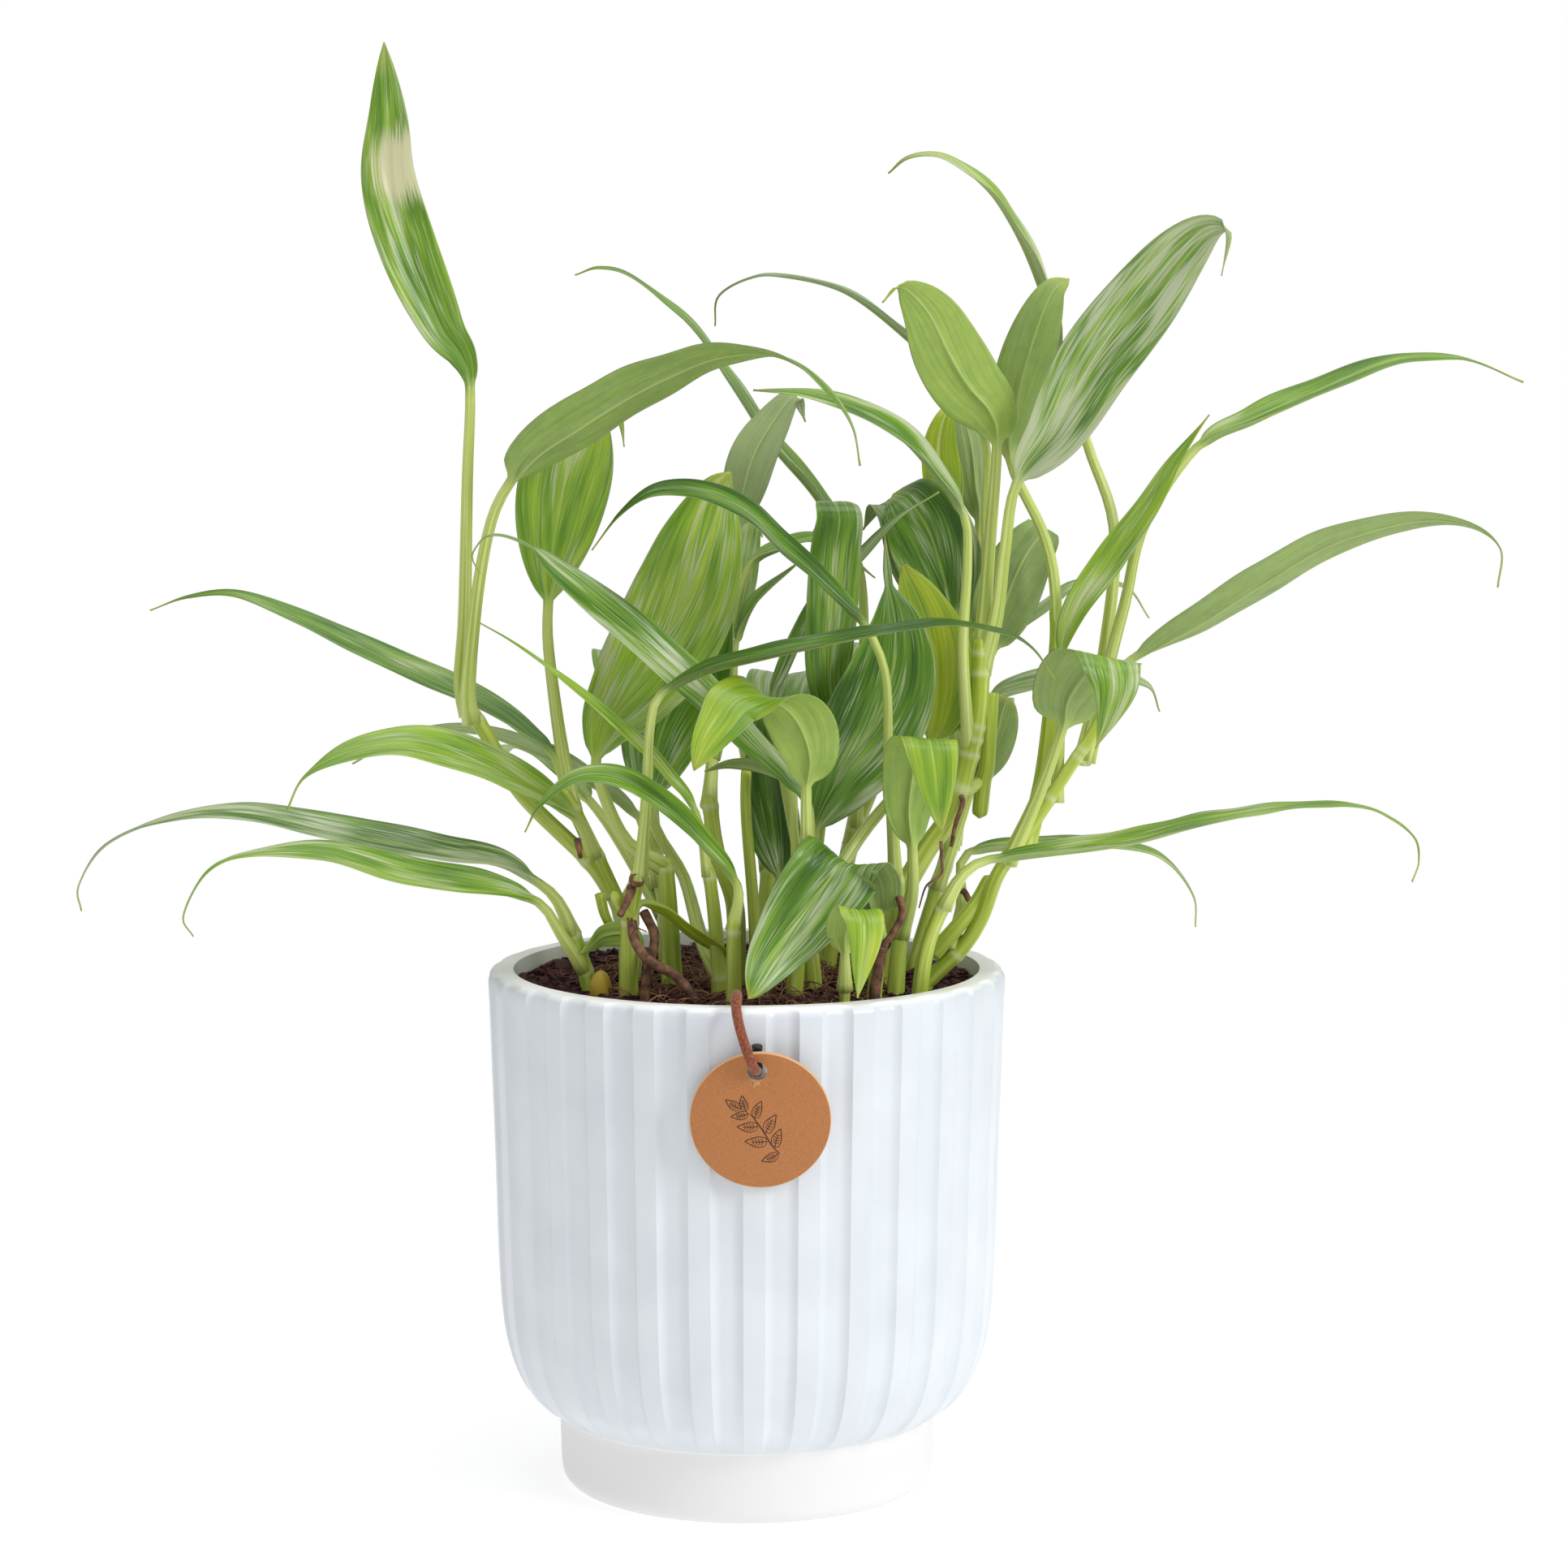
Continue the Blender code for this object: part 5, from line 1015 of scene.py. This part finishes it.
def add_leaf(working, leaf, rng):
    """One closed skin: a round grooved stalk that flattens into the blade, with its midrib below."""
    skin, place_layer, look = (working.verts.layers.float_vector[name] for name in LAYERS)
    points = [Vector(p) for p in leaf.stalk + leaf.rib]
    joint = len(leaf.stalk)
    stalk_length = line_length(smooth_line(points, 60, 0, joint))
    blade_length = line_length(smooth_line(points, 60, joint))
    stalk_rows = max(5, round(stalk_length / STALK_ROW))
    blade_rows = min(104, max(36, round(blade_length / BLADE_ROW)))
    line = smooth_line(points, stalk_rows + 1, 0, joint) + smooth_line(points, blade_rows + 1, joint)[1:]
    frames = leaf_frames(leaf, line, stalk_rows)
    # A narrow leaf has a thinner stalk.
    radius = STALK_RADIUS * min(1.0, 0.45 + leaf.width / 30)
    top_radius = radius * STALK_TOP
    wave = rng.uniform(*WAVE_HEIGHT) * leaf.width / 16
    wave_length = rng.uniform(*WAVE_LENGTH)
    phase = rng.uniform(0, 2 * math.pi)
    pleats = max(2.0, leaf.width / 6)
    vein_shift = rng.uniform(0, 300.0)
    half_width = leaf.width / 2

    def round_stalk(share, angle):
        """Distance from the centre: wide where it wraps the stem, with a groove on the upper side."""
        from_foot = share * stalk_length
        size = radius * (STALK_FOOT + (STALK_TOP - STALK_FOOT) * share)
        size *= 1 + SHEATH_FLARE * math.exp(-from_foot / SHEATH_LENGTH)
        return size * (1 - STALK_GROOVE * bump(angle, math.pi / 2, STALK_GROOVE_TURN))

    def blade_point(t, angle, half):
        """Share and distance across, height and vein: upper side first, and the under side after."""
        upper = angle <= math.pi
        turn = angle / math.pi if upper else (2 * math.pi - angle) / math.pi
        # Points crowd at the midrib and at the edges.
        spread = 1 - 2 * turn
        across = math.copysign(0.35 * abs(spread) + 0.65 * fade(abs(spread), 0.0, 1.0), spread)
        a = across * half
        # A broad blade is a shallow bowl across, and a narrow one a V with a soft bottom.
        if leaf.width >= BROAD:
            bend, depth = a * a / half, half
        else:
            bend, depth = math.sqrt(a * a + 0.5) - 0.7, math.sqrt(half * half + 0.5) - 0.7
        lift = leaf.fold * BLADE_FOLD * (1 - t) * (bend - 0.5 * depth * fade(t, 0.0, 0.2))
        distance = t * blade_length
        lag = WAVE_LAG if across > 0 else 0.0
        lift += wave * across * across * math.sin(
            2 * math.pi * distance / wave_length + phase + lag) * fade(t, 0.0, 0.15)
        vein = half_width * (abs(across) - VEIN_SPREAD * t)
        pleat = abs(across) - VEIN_SPREAD * t + 0.04 * math.sin(distance / 9.0 + phase)
        lift += PLEAT_HEIGHT * math.cos(2 * math.pi * pleats * pleat) * fade(t, 0.03, 0.2) * (1 - t)
        groove = GROOVE_DEPTH * bump(a, 0.0, GROOVE_WIDTH) * (1 - 0.7 * t)
        thick = BLADE_THICKNESS * (1 - across ** 6) + EDGE_THICKNESS
        if upper:
            return across, a, lift - groove + thick / 2, vein
        ridge = top_radius * 1.4 * (1 - t) ** 1.5 * bump(a, 0.0, 0.25 + 0.6 * top_radius * (1 - t) ** 3)
        return across, a, lift - thick / 2 - ridge, vein

    def place(vert, row, angle):
        ahead, edge, upper = frames[row]
        t = max(0.0, (row - stalk_rows) / blade_rows)
        half = max(leaf.width * blade_width(leaf, t) / 2, top_radius * (1 - fade(t, 0.0, 0.5)),
                   LEAST_HALF_WIDTH)
        across, a, lift, vein = blade_point(t, angle, half)
        flat = fade(t, 0.0, FLATTEN_OVER)
        share = min(1.0, row / stalk_rows)
        stalk_size = round_stalk(share, angle)
        a = a * flat + math.cos(angle) * stalk_size * (1 - flat)
        lift = lift * flat + math.sin(angle) * stalk_size * (1 - flat)
        side = 0.5 if abs(abs(across) - 1) < 1e-6 else (1.0 if angle < math.pi else 0.0)
        along = t * blade_length if row > stalk_rows else (share - 1) * stalk_length
        vert[skin] = (math.cos(angle), math.sin(angle), t)
        vert[place_layer] = (across, vein + vein_shift, along)
        vert[look] = (leaf.tone, leaf.silver, side)
        return line[row] + edge * a + upper * lift

    add_skin(working, stalk_rows + blade_rows, LEAF_SIDES, place)


def add_stem(working, stem, leaves, rooted, rng):
    """A jointed stem: it swells in a ring wherever a leaf stalk starts from it."""
    layers = working.verts.layers.float_vector
    path = [Vector(p) for p in stem.path]
    if rooted:
        foot = Vector((path[0].x, path[0].y, STEM_FOOT))
        path = [foot, path[0] + Vector((0, 0, 1))] + path[1:]
    rows = max(12, round(line_length(smooth_line(path, 40)) / STEM_ROW))
    line = smooth_line(path, rows + 1)
    length = line_length(line)
    frames = carried_frames(line, Vector((0, -1, 0)))
    joints = []
    for leaf in leaves:
        start = Vector(leaf.stalk[0])
        nearest = min(range(rows + 1), key=lambda i: (line[i] - start).length)
        if (line[nearest] - start).length < JOINT_REACH:
            joints.append(nearest / rows * length)
    shift = rng.uniform(0, 500.0)

    def place(vert, row, angle):
        ahead, side, upward = frames[row]
        share = row / rows
        along = share * length
        ring = max([bump(along, joint, JOINT_WIDTH) for joint in joints] + [0.0])
        size = stem.radius + (stem.tip_radius - stem.radius) * share
        size *= 1 + JOINT_SWELL * ring + 0.03 * math.cos(5 * angle + along / 20)
        size *= math.sqrt(max(0.02, 1 - fade(share, 1 - 2.0 / length, 1.0) ** 2))
        vert[layers["skin"]] = (math.cos(angle), math.sin(angle), ring)
        vert[layers["place"]] = (0.0, 0.0, along + shift)
        return line[row] + (side * math.cos(angle) + upward * math.sin(angle)) * size

    add_skin(working, rows, STEM_SIDES, place)


def plant_mesh():
    """An empty mesh with the layers that the leaf and stem materials read."""
    working = bmesh.new()
    for name in LAYERS:
        working.verts.layers.float_vector.new(name)
    return working


def layer(tree, name):
    return add_node(tree, "Attribute", attribute_name=name).outputs["Vector"]


def split(tree, vector):
    return add_node(tree, "SeparateXYZ", {0: vector}).outputs


def lined_noise(tree, around, length_mm, detail):
    """Noise in long lines on a round stalk or stem."""
    turn = calculate(tree, "VectorMath", "MULTIPLY", layer(tree, "skin"), (around, around, 0.0))
    step = calculate(tree, "Math", "MULTIPLY", split(tree, layer(tree, "place"))["Z"], 1 / length_mm)
    step = add_node(tree, "CombineXYZ", {2: step}).outputs[0]
    vector = calculate(tree, "VectorMath", "ADD", turn, step)
    return noise_at(tree, vector, detail)


# Leaf: the upper skin is satin, mid green with brushed silver streaks that leave the midrib at a
# low angle and run towards the tip. The under side is matte and greyer, with a pale midrib, and
# the stalk is a lighter green with fine lines along it.
FINE_LINE_MM = 0.45
FINE_LENGTH_MM = 14.0
BAND_MM = 1.7
BAND_LENGTH_MM = 22.0
PATCH_MM = 7.0
PATCH_LENGTH_MM = 32.0
MOTTLE_MM = 3.0
RIDGE_MM = 1.1
PALE_PATCH = (-93.0, 12.0, 357.0)
PALE_PATCH_REACH = (9.0, 30.0, 12.0)
STALK_LINE_MM = 60.0
STEM_LINE_MM = 35.0
UPPER_ROUGHNESS = 0.27
UNDER_ROUGHNESS = 0.55
leaf_skin, tree, shader = new_material("silver_streak_leaf", 0.34, IOR=1.45)
across, vein, along = split(tree, layer(tree, "place"))
share_along = split(tree, layer(tree, "skin"))["Z"]
tone, silver, upper_side = split(tree, layer(tree, "look"))
from_rib = calculate(tree, "Math", "ABSOLUTE", across)

# Streaks: noise stretched along the veins, as fine lines, as feathery strokes and as wide patches.
grain_vector = add_node(tree, "CombineXYZ", {0: vein, 1: along, 2: across}).outputs[0]


def stretched_noise(width_mm, length_mm, detail):
    vector = calculate(tree, "VectorMath", "MULTIPLY", grain_vector, (1 / width_mm, 1 / length_mm, 0.6))
    return noise_at(tree, vector, detail, 0.6)


def swing(level, size):
    """Noise as a change of up to size, up or down."""
    return mapped(tree, level, 0.25, 0.75, size, -size)


def total(first, *others):
    for other in others:
        first = calculate(tree, "Math", "ADD", first, other)
    return first


fine = stretched_noise(FINE_LINE_MM, FINE_LENGTH_MM, 1.0)
bands = stretched_noise(BAND_MM, BAND_LENGTH_MM, 2.0)
patches = stretched_noise(PATCH_MM, PATCH_LENGTH_MM, 1.0)

# Green: darker or more yellow from leaf to leaf, in soft patches and in fine lines. Silver lies on
# it in feathery strokes, more of them on a streaky leaf. Midrib and margin are paler.
green_level = total(tone, swing(patches, 0.24), swing(bands, -0.14), swing(fine, 0.14))
upper_colour = colour_ramp(tree, green_level, (0.0, "#365C14"), (1.0, "#B8CA36"), (0.33, "#5E8826"),
                           (0.66, "#8CAE32"))
streaks = add_node(tree, "Mix", {0: 0.5, 2: bands, 3: fine}).outputs[0]
silver_level = total(silver, swing(streaks, 0.62), swing(patches, 0.34))
silver_share = mapped(tree, silver_level, 0.38, 0.98, 0.85, interpolation_type="SMOOTHSTEP")
upper_colour = mix_colours(tree, silver_share, upper_colour, "#BDC4A5")
upper_colour = mix_colours(tree, mapped(tree, from_rib, 0.045, 0.015, 0.45), upper_colour, "#A9C062")
upper_colour = mix_colours(tree, mapped(tree, from_rib, 0.965, 1.0, 0.7), upper_colour, "#C4CFA0")

# One tall leaf has a sun-bleached cream patch near its tip, either side of the midrib.
coords = add_node(tree, "TexCoord").outputs["Object"]
from_patch = calculate(tree, "VectorMath", "SUBTRACT", coords, Vector(PALE_PATCH) * MM)
from_patch = calculate(tree, "VectorMath", "MULTIPLY", from_patch,
                       [1 / (reach * MM) for reach in PALE_PATCH_REACH])
from_patch = total(calculate(tree, "VectorMath", "LENGTH", from_patch), swing(fine, 0.35))
pale = mapped(tree, from_patch, 1.0, 0.5, 0.85, interpolation_type="SMOOTHSTEP")
upper_colour = mix_colours(tree, pale, upper_colour, "#D2CDA6")

# Under side: matte olive to yellow-green, greyer on a silvery leaf, with faint dark vein lines and
# a pale raised midrib.
mottle = object_noise(tree, MOTTLE_MM, 3.0)
under_level = total(tone, swing(patches, 0.12), swing(mottle, 0.1), swing(fine, 0.05))
under_colour = colour_ramp(tree, under_level, (0.0, "#6A8240"), (1.0, "#AFC758"), (0.5, "#8EAB50"))
under_grey = mapped(tree, total(silver, swing(streaks, 0.2)), 0.3, 1.1, 0.75)
under_colour = mix_colours(tree, under_grey, under_colour, "#A9B196")
under_colour = mix_colours(tree, mapped(tree, fine, 0.34, 0.42, 0.0, 0.1), under_colour, "#4B6A22")
under_colour = mix_colours(tree, mapped(tree, from_rib, 0.055, 0.02, 0.6), under_colour, "#BACB7C")

# Stalk: green with paler lines along it, and no silver. The blade's tip is yellower.
stalk_colour = colour_ramp(tree, lined_noise(tree, 2.2, STALK_LINE_MM, 2.0),
                           (0.3, "#A6BC50"), (0.7, "#DEE5A2"), (0.5, "#C4D274"))
leaf_colour = mix_colours(tree, upper_side, under_colour, upper_colour)
leaf_colour = mix_colours(tree, mapped(tree, share_along, 0.9, 1.0, 0.6), leaf_colour, "#B3B44E")
stalk_share = mapped(tree, along, 5.0, -3.0, interpolation_type="SMOOTHSTEP")
leaf_colour = mix_colours(tree, stalk_share, leaf_colour, stalk_colour)
ridges = stretched_noise(RIDGE_MM, BAND_LENGTH_MM, 0.0)
link_surface(tree, shader, leaf_colour, ridges, 0.4, 0.5)
leaf_roughness = mapped(tree, upper_side, 0.0, 1.0, UPPER_ROUGHNESS, UNDER_ROUGHNESS)
tree.links.new(leaf_roughness, shader.inputs["Roughness"])

# Stem: smooth satin green skin with paler lines along it, and a pale ring at each joint.
stem_skin, tree, shader = new_material("green_stem", 0.42, IOR=1.42)
stem_lines = lined_noise(tree, 2.0, STEM_LINE_MM, 3.0)
stem_colour = colour_ramp(tree, stem_lines, (0.28, "#8CA82E"), (0.72, "#CEDA78"), (0.5, "#AEC048"))
ring_share = mapped(tree, split(tree, layer(tree, "skin"))["Z"], 0.35, 1.0, 0.55)
stem_colour = mix_colours(tree, ring_share, stem_colour, "#D6DDB0")
link_surface(tree, shader, stem_colour, stem_lines, 0.3, 0.3)

rng = random.Random(11)
for node, (stems, leaves) in SHOOTS.items():
    working = plant_mesh()
    for leaf in leaves:
        add_leaf(working, leaf, rng)
    leaf_faces = set(working.faces)
    for i, stem in enumerate(stems):
        add_stem(working, stem, leaves, i == 0, rng)
    mark_new_faces(working, leaf_faces, 1)
    finish_piece(node + "_foliage", working, [leaf_skin, stem_skin], [node])

# Aerial roots.
# Thin brown roots with a corky skin that leave the lower stems and bend down into the soil.
AERIAL_ROOTS = {
    "root_left": ([(-30, -32.7, 159), (-29, -35, 154), (-25, -37, 149), (-19, -39, 146),
                   (-15, -40, 142), (-13, -40, 138), (-12, -39, 130)], 1.35, 1.3),
    "root_right": ([(42, -11.6, 163), (42, -13, 157), (37, -15, 149), (34, -17, 143),
                    (34, -17, 139), (34, -17, 130)], 1.2, 1.0),
}
ROOT_GRAIN_MM = 2.2
# Cork: dry and matte, dark brown with lighter flakes.
cork, tree, shader = new_material("corky_root", 0.8)
flakes = object_noise(tree, ROOT_GRAIN_MM, 2.0)
link_surface(tree, shader, colour_ramp(tree, flakes, (0.35, "#53392B"), (0.7, "#94694C")))


def add_root(working, path, first, last, steps, sides, relief, lumps):
    """A root whose radius goes from first to last, with the lumps of a corky skin."""
    add_rod(working, smooth_line(path, steps),
            lambda share, angle: (first + (last - first) * share) * (
                1 + relief * noise.noise(Vector((share * lumps, math.cos(angle), math.sin(angle))))),
            sides)


for node, (path, first, last) in AERIAL_ROOTS.items():
    working = bmesh.new()
    add_root(working, path, first, last, 40, 14, 0.07, 14)
    finish_piece(node + "_corky", working, [cork], [node])

# Scars, stubs and thin roots.
# Where old leaves were cut, a corky ring and short brown stubs stay on the stems, with a few thin dark
# roots. Two cut green stubs and a young shoot tip stand low down among the stems.
SMALL_ROOTS = [
    ([(-27, -28, 161), (-24, -31, 155), (-25, -33, 149), (-26, -34, 144), (-27, -34, 132)], 1.3, 1.4),
    ([(38.5, -31.5, 165), (40, -34, 166), (41, -36, 164), (41, -37, 161), (39, -37, 157),
      (36, -37, 153)], 1.1, 0.9),
    ([(36, -37, 153), (35, -37, 147), (34, -37, 141), (34, -37, 132)], 1.4, 1.6),
    ([(52, -17, 178), (52, -20, 175), (52, -21, 170), (48, -22, 167), (46, -22, 161)], 0.5, 0.2),
    ([(57, -8, 190), (58, -11, 188), (56, -12, 182), (55, -10, 176)], 0.8, 0.5),
    ([(61, -12, 159), (59, -10, 163), (58, -10, 164)], 0.7, 0.9),
    ([(-30, -31, 168), (-30.5, -33.5, 166), (-33, -36, 161)], 1.3, 0.9),
    ([(-45, -16, 178.5), (-44.5, -18, 176.5), (-44, -19, 174)], 1.0, 0.6),
    ([(-31, -34, 160), (-30, -37, 159), (-28, -38, 158), (-26, -37, 157)], 0.35, 0.15),
    ([(-30, -34, 160), (-29, -37, 158), (-30, -38, 156)], 0.3, 0.15),
]
SCAR_PLACE = (-28.6, -32.6, 170)
SCAR_RADII = (2.1, 1.7)
SCAR_LENGTH = 1.8
SCAR_RIM = 0.6
SCAR_HOLLOW = 0.7
working = bmesh.new()
for path, first, last in SMALL_ROOTS:
    add_root(working, path, first, last, 24, 12, 0.12, 12)
scar_matrix = Matrix.Translation(Vector(SCAR_PLACE) * MM) @ Matrix.Rotation(math.pi / 2, 4, "X")
scar = bmesh.ops.create_cone(working, cap_ends=True, segments=28, radius1=SCAR_RADII[0] * MM,
                             radius2=SCAR_RADII[1] * MM, depth=SCAR_LENGTH * MM,
                             matrix=scar_matrix)["verts"]
scar_faces = {face for vert in scar for face in vert.link_faces if face.normal.y < -0.9}
bmesh.ops.inset_region(working, faces=list(scar_faces), thickness=SCAR_RIM * MM)
bmesh.ops.translate(working, vec=(0.0, SCAR_HOLLOW * MM, 0.0),
                    verts=list({vert for face in scar_faces for vert in face.verts}))
finish_piece("scars_and_thin_roots", working, [cork])

working = plant_mesh()
rng = random.Random(5)
for stub in (Stem([(-39, -17, 164), (-38, -16, 159), (-36, -14, 154)], 1.5, 1.2),
             Stem([(50, -13, 147), (57, -13, 155), (62, -11, 161), (66, -9, 168)], 2.3, 2.0)):
    add_stem(working, stub, [], False, rng)
finish_piece("green_stubs", working, [stem_skin])

# Bud: a young shoot tip, a blunt yellow dome low down at the left.
BUD_LINE = [(-38.3, -24, 136.5), (-38.6, -24.3, 140.5), (-38.4, -24.5, 144.6)]
BUD_RADIUS = 3.1
yellow_bud = new_material("yellow_bud_skin", 0.45, Base_Color=hex_colour("#B9A02C"))[0]
working = bmesh.new()
add_rod(working, smooth_line(BUD_LINE, 16),
        lambda share, angle: BUD_RADIUS * math.sqrt(max(0.02, 1 - share ** 3)), 18)
finish_piece("yellow_bud", working, [yellow_bud])

# Studio.
# A sheet of white paper on the floor, a soft light at the right and front, and a larger one above.
FLOOR_RADIUS_METRES = 0.8
SKY_FILL = 0.53
# Each light: its place and its size in metres, and its power in watts.
LIGHTS = {
    "key": ((1.5, -1.1, 1.2), 0.9, 19.5),
    "top": ((0.2, -0.2, 2.2), 2.0, 24.0),
}
LIGHTS_AIM_METRES = Vector((0.0, 0.0, 0.2))
working = bmesh.new()
bmesh.ops.create_circle(working, cap_ends=True, segments=64, radius=FLOOR_RADIUS_METRES)
floor_mesh = bpy.data.meshes.new("studio_floor")
working.to_mesh(floor_mesh)
working.free()
floor = bpy.data.objects.new("studio_floor", floor_mesh)
bpy.context.scene.collection.objects.link(floor)
paper = new_material("white_paper", 0.9, Base_Color=hex_colour("#BCBCBC"),
                     Emission_Color=hex_colour("#FFFFFF"), Emission_Strength=0.62)[0]
floor_mesh.materials.append(paper)
world = bpy.data.worlds.new("studio")
bpy.context.scene.world = world
world.use_nodes = True
background = world.node_tree.nodes["Background"]
background.inputs["Color"].default_value = hex_colour("#FFFFFF")
seen = add_node(world.node_tree, "LightPath").outputs["Is Camera Ray"]
strength = mapped(world.node_tree, seen, 0.0, 1.0, 1.0, SKY_FILL)
world.node_tree.links.new(strength, background.inputs["Strength"])
for name, (place, size, power) in LIGHTS.items():
    lamp_data = bpy.data.lights.new(name, "AREA")
    lamp_data.size = size
    lamp_data.energy = power
    lamp = bpy.data.objects.new(name, lamp_data)
    lamp.location = place
    lamp.rotation_euler = (LIGHTS_AIM_METRES - Vector(place)).to_track_quat("-Z", "Y").to_euler()
    bpy.context.scene.collection.objects.link(lamp)
